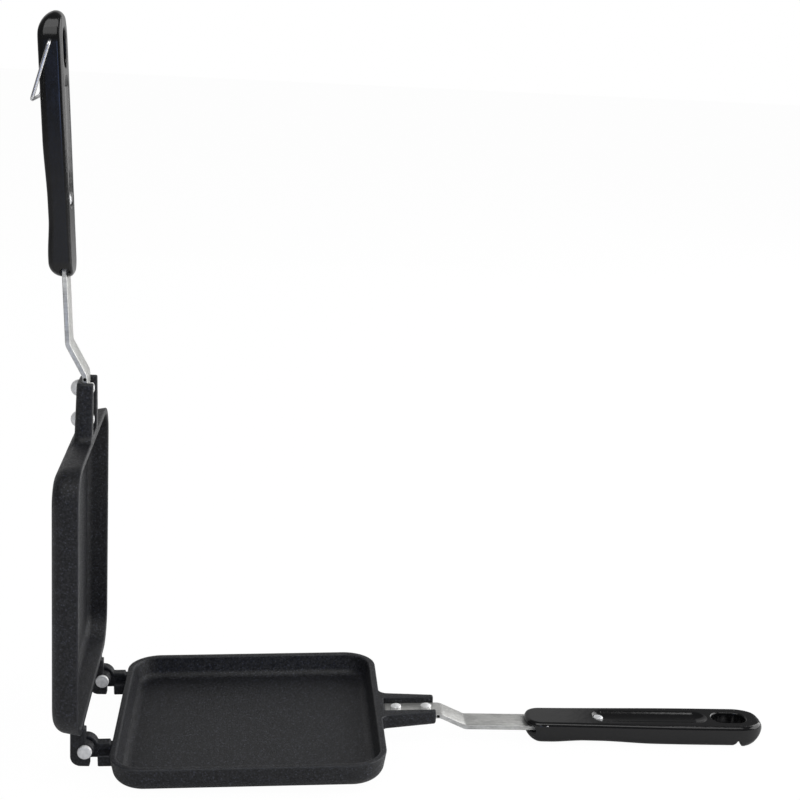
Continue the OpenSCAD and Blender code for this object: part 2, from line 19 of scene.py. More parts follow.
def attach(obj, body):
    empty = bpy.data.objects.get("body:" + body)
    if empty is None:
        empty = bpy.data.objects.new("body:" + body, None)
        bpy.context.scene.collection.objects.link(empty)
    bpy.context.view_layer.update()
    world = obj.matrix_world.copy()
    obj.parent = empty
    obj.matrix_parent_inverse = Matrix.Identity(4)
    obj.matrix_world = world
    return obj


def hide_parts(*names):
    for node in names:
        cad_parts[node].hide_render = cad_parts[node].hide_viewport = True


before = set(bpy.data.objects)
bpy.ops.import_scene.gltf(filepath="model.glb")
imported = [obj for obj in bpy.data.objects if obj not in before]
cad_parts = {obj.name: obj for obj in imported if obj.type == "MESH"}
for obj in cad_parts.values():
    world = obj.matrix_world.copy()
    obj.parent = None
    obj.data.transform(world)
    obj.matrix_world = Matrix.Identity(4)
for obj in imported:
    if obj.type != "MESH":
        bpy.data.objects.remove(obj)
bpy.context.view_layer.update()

LOG = logging.getLogger("pie_iron")
Array = np.ndarray
Field = Callable[[Array], Array]
Move = Callable[[Array], Array]
Pair = tuple[float, float]
Triple = tuple[float, float, float]
Area = tuple[Pair, Pair]
Material = bpy.types.Material
Node, Tree, Socket = bpy.types.Node, bpy.types.NodeTree, bpy.types.NodeSocket
MM = 0.001
SCENE = bpy.context.scene


# ---- Where the two halves lie ----


class Half(Enum):
    """The two halves of the iron."""

    LOWER = "lower"
    UPPER = "upper"


@dataclass(frozen=True)
class Layout:
    """Sizes that both halves share, in millimetres and degrees."""

    pan_side: float = 146.0
    pan_depth: float = 14.2
    shut_gap: float = 0.3
    hinge_reach: float = 13.2
    hinge_y: float = 44.0
    pin_drop: float = 0.65
    open_angle: float = 87.8
    bracket_len: float = 30.5
    strap_sink: float = 3.6
    strap_t: float = 2.5
    strap_w: float = 15.8
    handle_start: float = 81.8
    handle_len: float = 138.0
    rivets: Pair = (8.6, 25.6)
    step_gap: float = 3.0
    screw_x: float = 42.8
    pivot_x: float = 122.3
    pivot_drop: float = 1.2
    front_half_w: float = 11.1
    grip_half_w: float = 13.15
    widening: float = 0.75

    @property
    def rim_z(self) -> float:
        """Level of the rim in the half frame."""
        return -self.shut_gap / 2

    @property
    def rim_end(self) -> float:
        """Place of the rim on the handle's side."""
        return self.hinge_reach + self.pan_side

    @property
    def bracket_end(self) -> float:
        """Place of the bracket's free end."""
        return self.rim_end + self.bracket_len

    @property
    def strap_z(self) -> float:
        """Middle of the strap in the bracket."""
        return -self.strap_sink - self.strap_t / 2

    @property
    def axis_x(self) -> float:
        """Row x of the hinge axis."""
        return -(self.pan_side / 2 + self.hinge_reach)

    @property
    def meet_z(self) -> float:
        """Row z of the plane where the pans meet."""
        return self.pan_depth + self.shut_gap / 2


LAY = Layout()


def half_width(x: Array | float) -> Array:
    """Half width of a handle at x: it grows over the share of its length named widening."""
    return blend(LAY.front_half_w, LAY.grip_half_w, np.asarray(x) / (LAY.widening * LAY.handle_len))


@dataclass(frozen=True)
class HalfSizes:
    """What differs between the halves: the strap's step, slope and set, and the handle's trim."""

    half: Half
    step: float
    slope: float
    set_out: float
    trim: float
    tip: float

    @property
    def name(self) -> str:
        """Word that starts this half's piece names."""
        return self.half.value

    @property
    def body(self) -> str:
        """CAD body that carries this half."""
        return self.half.value + "_half"

    @property
    def step_x(self) -> Pair:
        """Where the strap's step begins and ends."""
        start = LAY.bracket_end + LAY.step_gap
        return start, start + self.step / math.tan(math.radians(self.slope))

    @property
    def handle_origin(self) -> Pair:
        """Half-frame x and z of the handle frame's origin, on the middle of the strap."""
        x = LAY.rim_end + LAY.handle_start
        drop = (x - self.step_x[1]) * math.tan(math.radians(self.set_out))
        return x, LAY.strap_z - self.step - drop

    def to_row(self, points: Array) -> Array:
        """Half frame in millimetres to row frame in metres.

        The lower half is shifted; the upper is turned half round about x, then up about the pin axis.

        Args:
            points: n by 3 places in the half frame.

        Returns:
            n by 3 places in the row frame.
        """
        p = np.asarray(points, float)
        if self.half is Half.LOWER:
            return (p + [LAY.axis_x, 0, LAY.meet_z]) * MM
        x, y, z = p[:, 0], -p[:, 1], -p[:, 2] + LAY.pin_drop
        a = math.radians(LAY.open_angle)
        up = LAY.meet_z - LAY.pin_drop
        return np.c_[x * math.cos(a) - z * math.sin(a) + LAY.axis_x, y,
                     x * math.sin(a) + z * math.cos(a) + up] * MM

    def handle_to_row(self, points: Array) -> Array:
        """Handle frame (x along the handle, z towards the inner face) to row frame in metres."""
        p = np.asarray(points, float)
        a = math.radians(self.set_out)
        ox, oz = self.handle_origin
        return self.to_row(np.c_[p[:, 0] * math.cos(a) + p[:, 2] * math.sin(a) + ox, p[:, 1],
                                 p[:, 2] * math.cos(a) - p[:, 0] * math.sin(a) + oz])


LOWER = HalfSizes(Half.LOWER, step=7.0, slope=26.5, set_out=2.1, trim=0.0, tip=138.0)
UPPER = HalfSizes(Half.UPPER, step=8.9, slope=28.0, set_out=2.6, trim=3.0, tip=137.0)


# ---- Distance fields: negative inside, in millimetres ----


def both(a: Array, b: Array, r: float) -> Array:
    """What lies in both shapes, with their common edge rounded to radius r."""
    u, v = np.maximum(a + r, 0), np.maximum(b + r, 0)
    return np.minimum(np.maximum(a, b), -r) + np.hypot(u, v)


def either(a: Array, b: Array, r: float) -> Array:
    """What lies in either shape, with a fillet of radius r where they meet."""
    return -both(-a, -b, r)


def without(a: Array, b: Array, r: float) -> Array:
    """Shape a with shape b cut out of it, and the cut's edge rounded to radius r."""
    return both(a, -b, r)


def rounded_box(x: Array, y: Array, hx: float, hy: float, r: float) -> Array:
    """Distance to a rectangle of half sides hx and hy whose corners have radius r."""
    qx, qy = np.abs(x) - hx + r, np.abs(y) - hy + r
    return np.hypot(np.maximum(qx, 0), np.maximum(qy, 0)) + np.minimum(np.maximum(qx, qy), 0) - r


def slab(x: Array, z: Array, area: Area, r: float) -> Array:
    """Distance to a rectangle given by its first and last x and its lowest and highest z."""
    (x0, x1), (z0, z1) = area
    return rounded_box(x - (x0 + x1) / 2, z - (z0 + z1) / 2, (x1 - x0) / 2, (z1 - z0) / 2, r)


def stadium(x: Array, y: Array, run: float, r: float) -> Array:
    """Distance to a slot along x: two half circles of radius r whose centres are run apart."""
    return np.hypot(x - np.clip(x, -run / 2, run / 2), y) - r


def blend(a: float, b: float, t: Array) -> Array:
    """Smooth step from a at t = 0 to b at t = 1, as 3t squared less 2t cubed."""
    t = np.clip(t, 0, 1)
    return a + (b - a) * t * t * (3 - 2 * t)


def slope_of(shape: Field, p: Array, h: float = 0.02) -> Array:
    """Gradient of a field by central differences of step h."""
    return np.stack([(shape(p + step) - shape(p - step)) / (2 * h) for step in h * np.eye(3)], -1)


def bend_of(shape: Field, p: Array, h: float) -> Array:
    """Curvature of a surface: sum of the second differences of its field, positive on an outer edge."""
    total = -6 * shape(p)
    for step in h * np.eye(3):
        total += shape(p + step) + shape(p - step)
    return total / (h * h)


@dataclass
class Skin:
    """Surface of one piece: corners, four-sided faces, normals and an edge mask: rubbed edges, which on
    the pans also carry a painted edge highlight, and on the strap a painted shade in its notch.
    """

    verts: Array
    quads: Array
    normals: Array | None = None
    edge: Array | None = None
    tris: Array | None = None
    caps: list[list[int]] = field(default_factory=list)

    def placed(self, move: Move) -> "Skin":
        """The same skin after a placing, whose turning part turns the normals as well."""
        self.verts, ahead = move(self.verts), move(self.normals) - move(np.zeros((1, 3)))
        self.normals = ahead / np.linalg.norm(ahead, axis=1)[:, None]
        return self


# How often a wrapped skin is settled on its field, and the limits of that step and of the edge mask for
# rubbed edges and painted edge highlight.
SETTLING_STEPS = 4
LEAST_SLOPE = 0.2
MOST_WEAR = 2.0


def wrap(shape: Field, lines: Sequence[Array], reach: float = 0.8) -> Skin:
    """Wraps a skin of four-sided faces round a distance field.

    The field is sampled on a grid. A cell that the surface crosses gets a corner at the mean of the
    crossings on its edges; an edge that crosses joins its four cells in a face. The corners then slide
    down the field's gradient until the distance is zero.

    Args:
        shape: the distance field.
        lines: the grid's places along x, y and z.
        reach: step for the curvature that marks edges, for rubbing and, on the pans, a painted edge
            highlight.

    Returns:
        The closed skin.
    """
    grid = np.stack(np.meshgrid(*lines, indexing="ij"), -1)
    d = shape(grid.reshape(-1, 3)).reshape(grid.shape[:3])
    cells = tuple(n - 1 for n in d.shape)
    total, count = np.zeros(cells + (3,)), np.zeros(cells, int)
    for axis in range(3):
        g, e = np.moveaxis(grid, axis, 0), np.moveaxis(d, axis, 0)
        low, high = e[:-1], e[1:]
        cross = (low < 0) != (high < 0)
        t = np.where(cross, low / np.where(cross, low - high, 1), 0)[..., None]
        place = np.where(cross[..., None], g[:-1] + t * (g[1:] - g[:-1]), 0)
        nb, nc = low.shape[1] - 1, low.shape[2] - 1
        into, number = np.moveaxis(total, axis, 0), np.moveaxis(count, axis, 0)
        for i in (0, 1):
            for j in (0, 1):
                into += place[:, i:nb + i, j:nc + j]
                number += cross[:, i:nb + i, j:nc + j]
    crossed = count > 0
    ids = np.full(cells, -1)
    ids[crossed] = np.arange(crossed.sum())
    verts = total[crossed] / count[crossed][:, None]
    faces = []
    for axis in range(3):
        order = (axis, (axis + 1) % 3, (axis + 2) % 3)
        e, n = np.transpose(d, order), np.transpose(ids, order)
        low, high = e[:-1, 1:-1, 1:-1] < 0, e[1:, 1:-1, 1:-1] < 0
        ring = np.stack([n[:, :-1, :-1], n[:, 1:, :-1], n[:, 1:, 1:], n[:, :-1, 1:]], -1)
        faces += [ring[low & ~high], ring[~low & high][:, ::-1]]
    most = 0.5 * min(float(np.diff(line).min()) for line in lines)
    for _ in range(SETTLING_STEPS):
        g = slope_of(shape, verts)
        size = np.maximum(np.linalg.norm(g, axis=1), LEAST_SLOPE)
        move = np.clip(shape(verts) / size, -most, most)
        verts = verts - g * (move / size)[:, None]
    g = slope_of(shape, verts)
    g /= np.maximum(np.linalg.norm(g, axis=1), 1e-9)[:, None]
    wear_and_sheen = np.clip(bend_of(shape, verts, reach), -MOST_WEAR, MOST_WEAR)
    return Skin(verts, np.concatenate(faces), g, wear_and_sheen)


def graded(*marks: Pair) -> Array:
    """Grid places from marks of (end, spacing): each stretch is split evenly at about its spacing."""
    out = [np.array([marks[0][0]])]
    for (a, _), (b, step) in zip(marks, marks[1:]):
        out.append(np.linspace(a, b, max(1, round((b - a) / step)) + 1)[1:])
    return np.concatenate(out)


# ---- Profiles ----


def arc(cx: float, cy: float, r: float, start: float, end: float, n: int) -> Array:
    """Points of an arc of radius r about (cx, cy) between two angles in degrees."""
    t = np.radians(np.linspace(start, end, n))
    return np.c_[cx + r * np.cos(t), cy + r * np.sin(t)]


def smooth_normals(verts: Array, quads: Array, tris: Array | None) -> Array:
    """Corner normals: the sum of the face normals at a corner, each weighted by its area squared."""
    out = np.zeros_like(verts)
    for faces in (quads, tris):
        if faces is None or not len(faces):
            continue
        a, b, c, d = (verts[faces[:, i % faces.shape[1]]] for i in (0, 1, 2, 3))
        n = np.cross(c - a, d - b) if faces.shape[1] == 4 else np.cross(b - a, c - a)
        n *= np.linalg.norm(n, axis=1)[:, None]
        for i in range(faces.shape[1]):
            np.add.at(out, faces[:, i], n)
    return out / np.maximum(np.linalg.norm(out, axis=1), 1e-20)[:, None]


def turned(profile: Array, sides: int = 48) -> Skin:
    """Profile of (radius, height) turned about z: x = r cos t, y = r sin t. Its ends lie on the axis.

    Args:
        profile: points from the lower pole to the upper pole.
        sides: steps of t.

    Returns:
        A closed skin with single corners at its poles.
    """
    body, n = profile[1:-1], len(profile) - 2
    t = np.linspace(0, 2 * np.pi, sides, endpoint=False)
    ring = np.stack([body[:, :1] * np.cos(t), body[:, :1] * np.sin(t),
                     np.repeat(body[:, 1:], sides, 1)], -1).reshape(-1, 3)
    poles = [[0, 0, profile[0, 1]], [0, 0, profile[-1, 1]]]
    verts = np.concatenate([ring, poles])
    k, nxt = np.arange(sides), (np.arange(sides) + 1) % sides
    base = (np.arange(n - 1) * sides)[:, None]
    quads = np.stack([base + k, base + nxt, base + sides + nxt, base + sides + k], -1).reshape(-1, 4)
    low, high, last = n * sides, n * sides + 1, (n - 1) * sides
    tris = np.concatenate([np.c_[nxt, k, np.full(sides, low)],
                           np.c_[last + k, last + nxt, np.full(sides, high)]])
    return Skin(verts, quads, smooth_normals(verts, quads, tris), None, tris)


def carried(rings: Array) -> Skin:
    """Closed profiles carried along a path and joined, with a flat cap at each end.

    Args:
        rings: m by n by 3 places: m copies of a profile of n points.
    """
    m, n = rings.shape[:2]
    i, k = np.arange(m - 1)[:, None] * n, np.arange(n)
    nxt = (k + 1) % n
    quads = np.stack([i + k, i + nxt, i + n + nxt, i + n + k], -1).reshape(-1, 4)
    verts = rings.reshape(-1, 3)
    caps = [list(range(n))[::-1], [(m - 1) * n + j for j in range(n)]]
    return Skin(verts, quads, smooth_normals(verts, quads, None), None, None, caps)


# ---- Pans ----


@dataclass
class PanCasting:
    """One cast pan: tray, riveting bracket and hinge ears, all one metal body with soft corners."""

    place: HalfSizes
    rim_w: float = 3.5
    floor_t: float = 2.6
    corner_r: float = 19.0
    outer_draft: float = 2.6
    inner_draft: float = 3.2
    base_r: float = 6.0
    cavity_r: float = 3.6
    rim_round: float = 0.7
    bracket_w: float = 22.2
    bracket_root_w: float = 29.6
    bracket_end_h: float = 9.0
    bracket_root_h: float = 9.8
    bracket_round: float = 4.0
    bracket_end_r: float = 1.2
    bracket_inset: float = 6.0
    flare_r: float = 4.5
    channel_play: float = 0.1
    channel_inset: float = 1.9
    channel_end_r: float = 0.8
    channel_edge_r: float = 0.4
    cut_round: float = 0.5
    seat_r: float = 4.6
    seat_rise: float = 0.2
    ear_t: float = 5.6
    ear_play: float = 0.3
    ear_round: float = 0.5
    pin_d: float = 4.8
    knuckle_r: float = 6.3
    boss_r: float = 4.6
    lug: Area = ((-8.6, 0.0), (-7.7, 2.5))
    lug_corner_r: float = 5.4
    neck: Area = ((-4.0, 12.6), (-7.7, 0.4))
    arm: Area = ((0.0, 16.0), (-7.7, -0.9))
    arm_round: float = 0.3
    upper_root: Area = ((8.0, 16.0), (-7.7, -2.2))
    bar: Area = ((0.0, 12.6), (-6.5, 1.8))
    heel: Area = ((8.0, 16.0), (-9.0, 0.4))
    lower_root: Area = ((6.4, 16.0), (-9.0, -2.8))
    fillet_r: float = 0.4
    bore_reach: float = 60.0
    bore_round: float = 0.3
    fine: float = 0.72
    coarse: float = 3.2

    def tray(self, x: Array, y: Array, z: Array) -> tuple[Array, Array]:
        """Outer body and cavity of the tray.

        Both are a rounded square drawn in by its wall's slope times the depth below the rim.

        Returns:
            The outer body's field, open at the rim, and the cavity's.
        """
        half = LAY.pan_side / 2
        depth = LAY.rim_z - z
        plan = rounded_box(x - LAY.hinge_reach - half, y, half, half, self.corner_r)
        lean = self.outer_draft / LAY.pan_depth
        wall = (plan + lean * depth) / math.hypot(1, lean)
        body = both(wall, depth - LAY.pan_depth, self.base_r)
        in_depth = LAY.pan_depth - self.floor_t
        lean = self.inner_draft / in_depth
        hollow = (plan + self.rim_w + lean * depth) / math.hypot(1, lean)
        return body, both(hollow, depth - in_depth, self.cavity_r)

    def bracket(self, x: Array, y: Array, z: Array) -> Array:
        """Tapering tongue that the strap is riveted in: sides, sloping underside and free end."""
        t = (x - LAY.rim_end) / LAY.bracket_len
        lean = (self.bracket_root_w - self.bracket_w) / 2 / LAY.bracket_len
        side = (np.abs(y) - self.bracket_root_w / 2 + lean * (x - LAY.rim_end)) / math.hypot(1, lean)
        under = -z - (self.bracket_root_h + (self.bracket_end_h - self.bracket_root_h) * t)
        body = both(side, under, self.bracket_round)
        body = both(body, x - LAY.bracket_end, self.bracket_end_r)
        return np.maximum(body, LAY.rim_end - self.bracket_inset - x)

    def channel(self, x: Array, y: Array, z: Array) -> Array:
        """Open-topped channel that the strap lies in."""
        sides = both(np.abs(y) - LAY.strap_w / 2 - self.channel_play,
                     LAY.rim_end + self.channel_inset - x, self.channel_end_r)
        return both(sides, -LAY.strap_sink - LAY.strap_t - z, self.channel_edge_r)

    @property
    def axis_z(self) -> float:
        """Level of the pin axis in the half frame."""
        return LAY.pin_drop if self.place.half is Half.UPPER else -LAY.pin_drop

    def upper_plates(self, x: Array, h: Array) -> tuple[Array, Array]:
        """Outlines of the upper half's ear about the pin: lug with a round lower corner, and root."""
        corner_x, corner_h = (edge[0] + self.lug_corner_r for edge in self.lug)
        nose = np.hypot(np.minimum(x - corner_x, 0), np.minimum(h - corner_h, 0)) - self.lug_corner_r
        lug = np.maximum(slab(x, h, self.lug, self.fillet_r),
                         np.where((x < corner_x) & (h < corner_h), nose, -np.inf))
        neck, arm = slab(x, h, self.neck, self.fillet_r), slab(x, h, self.arm, self.arm_round)
        plate = np.minimum(np.minimum(lug, neck), np.minimum(arm, np.hypot(x, h) - self.boss_r))
        return plate, slab(x, h, self.upper_root, self.ear_round)

    def lower_plates(self, x: Array, h: Array) -> tuple[Array, Array]:
        """Outlines of the lower half's ear about the pin: knuckle, bar and heel, and root."""
        bar, heel = slab(x, h, self.bar, self.fillet_r), slab(x, h, self.heel, self.ear_round)
        plate = np.minimum(np.minimum(np.hypot(x, h) - self.knuckle_r, bar), heel)
        return plate, slab(x, h, self.lower_root, self.ear_round)

    def ears(self, x: Array, y: Array, z: Array) -> Array:
        """Both hinges' ears: a plate on one side of each hinge's middle, and its root on the other."""
        upper = self.place.half is Half.UPPER
        plate, root = (self.upper_plates if upper else self.lower_plates)(x, z - self.axis_z)
        out = np.full(x.shape, np.inf)
        stack = 2 * self.ear_t + self.ear_play
        for side in (-1, 1):
            w = y - side * LAY.hinge_y
            near = np.abs(w - (stack + self.ear_play) / 4) - (stack - self.ear_play) / 4
            far = np.abs(w + (stack - self.ear_play) / 4) - (stack + self.ear_play) / 4
            ear = np.minimum(both(plate, near, self.ear_round), both(root, far, self.ear_round))
            out = np.minimum(out, ear)
        return out

    def distance(self, p: Array) -> Array:
        """The whole casting: tray and bracket joined by a fillet, levelled at the rim, then the cuts."""
        x, y, z = p.T
        body, hollow = self.tray(x, y, z)
        solid = either(body, self.bracket(x, y, z), self.flare_r)
        solid = both(solid, z - LAY.rim_z, self.rim_round)
        solid = without(solid, hollow, self.rim_round)
        solid = without(solid, self.channel(x, y, z), self.cut_round)
        for r in LAY.rivets:
            seat = both(np.hypot(x - LAY.rim_end - r, y) - self.seat_r,
                        z + self.bracket_end_h - self.seat_rise, self.seat_rise)
            solid = without(solid, seat, self.seat_rise)
        solid = either(solid, self.ears(x, y, z), self.fillet_r)
        bore = np.maximum(np.hypot(x, z - self.axis_z) - self.pin_d / 2, np.abs(y) - self.bore_reach)
        return without(solid, bore, self.bore_round)

    def skin(self) -> Skin:
        """Skin on a grid that is fine near walls, ears and bracket and coarse on the flat floor.

        The grid is shifted a little across, off the casting's plane of symmetry.
        """
        f, c = self.fine, self.coarse
        xs = graded((-9.8, 0), (36, f), (137, c), (LAY.bracket_end + 0.9, f))
        half_y = graded((0, 0), (22, f), (37, c), (50.6, 0.6), (54, c / 2), (74.2, f))
        ys = np.concatenate([-half_y[:0:-1], half_y]) + 0.013
        zs = graded((-15.2, 0), (7.0, 0.62))
        return wrap(self.distance, (xs, ys, zs))

    def build(self, dress: "Finishes") -> None:
        """Makes the pan's piece."""
        skin = self.skin().placed(self.place.to_row)
        add_piece(self.place.name + "_pan", "casting", skin, dress.coating, self.place.body)


# ---- Handles ----


@dataclass
class MouldedHandle:
    """One moulded handle: rounded oblong body, finger groove, hang hole, strap mouth and latch notch."""

    place: HalfSizes
    inner: float = 4.5
    front_out: float = 7.7
    waist_out: float = 6.5
    grip_out: float = 7.5
    waist_start: float = 14.0
    waist_run: float = 20.8
    grip_run: float = 32.0
    hook: float = 0.55
    hook_lead: float = 3.0
    hook_run: float = 7.0
    plan_ends: Pair = (9.5, 15.0)
    inner_ends: Pair = (3.4, 4.5)
    outer_ends: Pair = (9.0, 11.5)
    outer_slant: float = 1.5
    edge_r: Pair = (3.3, 2.3)
    groove_x: float = 39.0
    groove_len: float = 66.5
    groove_w: float = 14.0
    groove_depth: float = 2.2
    hole_x: float = 118.75
    hole_len: float = 19.7
    hole_w: float = 13.0
    mouth_depth: float = 5.5
    mouth_play: float = 0.45
    well_r: float = 3.1
    well_floor: float = 0.1
    nut_r: float = 3.5
    nut_depth: float = 3.0
    notch_depth: float = 3.6
    notch_r: float = 1.0
    notch_back: Pair = (0.44, 1.09)
    notch_front: Pair = (0.78, 1.27)
    bail_hole_r: float = 0.98
    bail_hole_end: float = 6.0
    grow: float = 0.75

    def outer(self, x: Array) -> Array:
        """Depth of the outer face: full at the front, drawn in at the waist, full again at the grip."""
        waist = blend(1, 0, (x - self.waist_start) / self.waist_run)
        grip = blend(0, 1, (x - LAY.screw_x) / self.grip_run)
        most = self.hook if self.place.half is Half.LOWER else 0
        hook = blend(0, most, (x - LAY.pivot_x + self.hook_lead) / self.hook_run)
        return (self.waist_out + (self.front_out - self.waist_out) * waist
                + (self.grip_out - self.waist_out) * grip + hook)

    def ended(self, x: Array, side: Array, half: Array, ends: Pair, power: float = 1.0) -> Array:
        """Distance to an outline of half width half whose ends are drawn in.

        The outline is side = half times the root of (1 less u squared), to a power at the rear, where u
        runs from 0 where an end begins to 1 at its tip. The distance is the field f = side / half less
        that root, over the length of its gradient, which is held above a small value at the middle.

        Args:
            x: place along the handle.
            side: place across it, from its middle.
            half: half width there.
            ends: lengths of the front and rear ends.
            power: slant of the rear end: 1 is a quarter ellipse.
        """
        f, tip = self.place.trim - self.grow, self.place.tip + self.grow
        front, rear = (end + self.grow for end in ends)
        u = np.minimum(x - f - front, 0) / front
        w = np.maximum(x - tip + rear, 0) / rear
        s = np.abs(side) / half
        inner = np.where(w > 0, s ** (2 / power), s * s)
        q = np.sqrt(inner + (u + w) ** 2)
        run = np.where(x < f + front, front, rear)
        steep = np.hypot((u + w) / run, s / half)
        return (q - 1) * np.maximum(q, 0.3) / np.maximum(steep, 0.02)

    def distance(self, p: Array) -> Array:
        """The whole handle: plan and side outlines rounded together, then every cut and its edge."""
        x, y, z = p.T
        plan = self.ended(x, y, half_width(x), self.plan_ends)
        top = self.ended(x, z, np.full(x.shape, self.inner), self.inner_ends)
        under = self.ended(x, z, self.outer(x), self.outer_ends, self.outer_slant)
        solid = both(plan, np.where(z > 0, top, under), blend(*self.edge_r, (z + 1.5) / 4))
        hole = stadium(x - self.hole_x, y, self.hole_len - self.hole_w, self.hole_w / 2)
        mouth = both(x - self.place.trim - self.mouth_depth,
                     np.abs(z) - LAY.strap_t / 2 - self.mouth_play, 0.3)
        off = np.hypot(x - LAY.screw_x, y)
        well = both(off - self.well_r, self.inner - self.groove_depth + self.well_floor - z, 0.2)
        nut = both(off - self.nut_r, z + self.waist_out - self.nut_depth, 0.2)
        latch, latch_edge = self.latch_cut(x, y, z)
        for cut, edge in ((self.groove(x, y, z), 0.5), (hole, 0.9), (mouth, 0.5), (well, 0.25),
                          (nut, 0.4), (latch, latch_edge)):
            solid = without(solid, cut, edge)
        return solid

    def groove(self, x: Array, y: Array, z: Array) -> Array:
        """Scoop of a round-ended bar: its radius makes the groove's width at its depth."""
        r = (self.groove_w ** 2 / 4 + self.groove_depth ** 2) / (2 * self.groove_depth)
        first = self.groove_x + self.groove_w / 2
        last = self.groove_x + self.groove_len - self.groove_w / 2
        along = x - np.clip(x, first, last)
        up = z - (self.inner - self.groove_depth + r)
        return np.sqrt(along ** 2 + y ** 2 + up ** 2) - r

    def latch_cut(self, x: Array, y: Array, z: Array) -> tuple[Array, float]:
        """Hooked cross notch of the lower handle, or the bail's holes in the upper one.

        Each side of the notch leans by a slope, given with the length of a step along it.

        Returns:
            The cut's field and the radius of its edge.
        """
        along = x - LAY.pivot_x
        if self.place.half is Half.UPPER:
            bore = np.hypot(along, z + LAY.pivot_drop) - self.bail_hole_r
            return np.maximum(bore, self.bail_hole_end - np.abs(y)), 0.25
        r, (back, back_step), (front, front_step) = self.notch_r, self.notch_back, self.notch_front
        up = z + self.grip_out - self.notch_depth + r
        lean = both((along - r + up * back) / back_step, up, 0.1)
        lean = both(lean, (up * front - along - r) / front_step, 0.1)
        return np.minimum(np.hypot(along, up) - r, lean), 0.35

    def build(self, dress: "Finishes") -> None:
        """Makes the handle's piece, on a grid shifted a little off its middle planes."""
        xs = graded((self.place.trim - 0.9, 0), (12, 0.4), (98, 0.6), (self.place.tip + 0.9, 0.42))
        ys = graded((-14, 0), (14, 0.44)) + 0.011
        zs = graded((-9.2, 0), (5.4, 0.42)) + 0.007
        skin = wrap(self.distance, (xs, ys, zs), 0.6).placed(self.place.handle_to_row)
        add_piece(self.place.name + "_handle", "moulding", skin, dress.phenolic, self.place.body)


# ---- Straps ----


@dataclass
class BentStrap:
    """Flat steel strap: a rounded bar section carried along its bent middle line."""

    place: HalfSizes
    bend_r: float = 6.25
    edge_r: float = 0.4
    tang_len: float = 58.0
    notch_x: float = 1.5
    notch_r: float = 0.7
    notch_depth: float = 1.0
    root_gap: float = 2.1
    bend_steps: int = 12
    edge_h: float = 0.8
    edge_steps: int = 9

    def middle(self) -> tuple[Array, Array]:
        """Middle line in x and z, and its heading below the horizontal in radians at each point."""
        x1, x2 = self.place.step_x
        slope, out = math.radians(self.place.slope), math.radians(self.place.set_out)
        z1, z2 = LAY.strap_z, LAY.strap_z - self.place.step
        r, back1 = self.bend_r, self.bend_r * math.tan(slope / 2)
        back2 = r * math.tan((slope - out) / 2)
        t1 = np.linspace(0, slope, self.bend_steps)
        bend1 = np.c_[x1 - back1 + r * np.sin(t1), z1 - r + r * np.cos(t1)]
        t2 = np.linspace(slope, out, self.bend_steps)
        c2 = np.array([x2 - back2 * math.cos(slope) + r * math.sin(slope),
                       z2 + back2 * math.sin(slope) + r * math.cos(slope)])
        bend2 = np.c_[c2[0] - r * np.sin(t2), c2[1] - r * np.cos(t2)]
        mark = LAY.bracket_end + self.notch_x
        start = LAY.rim_end + self.root_gap
        flat = np.concatenate([[start, start + 1], np.linspace(mark - 1.1, x1 - back1 - 0.05, 12)])
        hx, hz = self.place.handle_origin
        end = np.array([[hx + self.tang_len * math.cos(out), hz - self.tang_len * math.sin(out)]])
        line = np.concatenate([np.c_[flat, np.full(len(flat), z1)], bend1, bend2, end])
        head = np.concatenate([np.zeros(len(flat)), t1, t2, [out]])
        return line, head

    def section(self) -> Array:
        """Bar section of (y, height): a rectangle with rounded corners and fine points on its edges."""
        hy, hz, r = LAY.strap_w / 2, LAY.strap_t / 2, self.edge_r
        fine = np.linspace(-self.edge_h, self.edge_h, self.edge_steps)
        right = np.c_[np.full(self.edge_steps, hy), fine]
        return np.concatenate([
            arc(hy - r, -hz + r, r, -90, 0, 5), right, arc(hy - r, hz - r, r, 0, 90, 5),
            arc(-hy + r, hz - r, r, 90, 180, 5), (right * [-1, 1])[::-1],
            arc(-hy + r, -hz + r, r, 180, 270, 5)])

    def build(self, dress: "Finishes") -> None:
        """Makes the strap. A corner (y, h) of the section lies h along the line's own normal.

        The edge is drawn in at the notch, and the notch is marked by the distance off its middle for a
        painted shade, near black.
        """
        line, head = self.middle()
        sec = self.section()
        x = line[:, :1] + np.sin(head)[:, None] * sec[:, 1]
        z = line[:, 1:] + np.cos(head)[:, None] * sec[:, 1]
        y = np.repeat(sec[None, :, 0], len(line), 0)
        off = np.hypot(x - LAY.bracket_end - self.notch_x, z - LAY.strap_z)
        dip = self.notch_depth * blend(1, 0, (off - self.notch_r + 0.12) / 0.24)
        y = np.where(np.abs(y) > LAY.strap_w / 2 - 0.01, y - np.sign(y) * dip, y)
        skin = carried(np.stack([x, y, z], -1))
        # Painted shade: the mask of the strap's edge in the notch, coloured near black by the strap's
        # material.
        skin.edge = np.where(np.abs(sec[:, 0]) > LAY.strap_w / 2 - 0.3,
                             blend(1, 0, (off - self.notch_r - 0.05) / 0.25), 0.0).reshape(-1)
        add_piece(self.place.name + "_strap", "bar", skin.placed(self.place.to_row), dress.steel,
                  self.place.body)


# ---- Fastenings ----


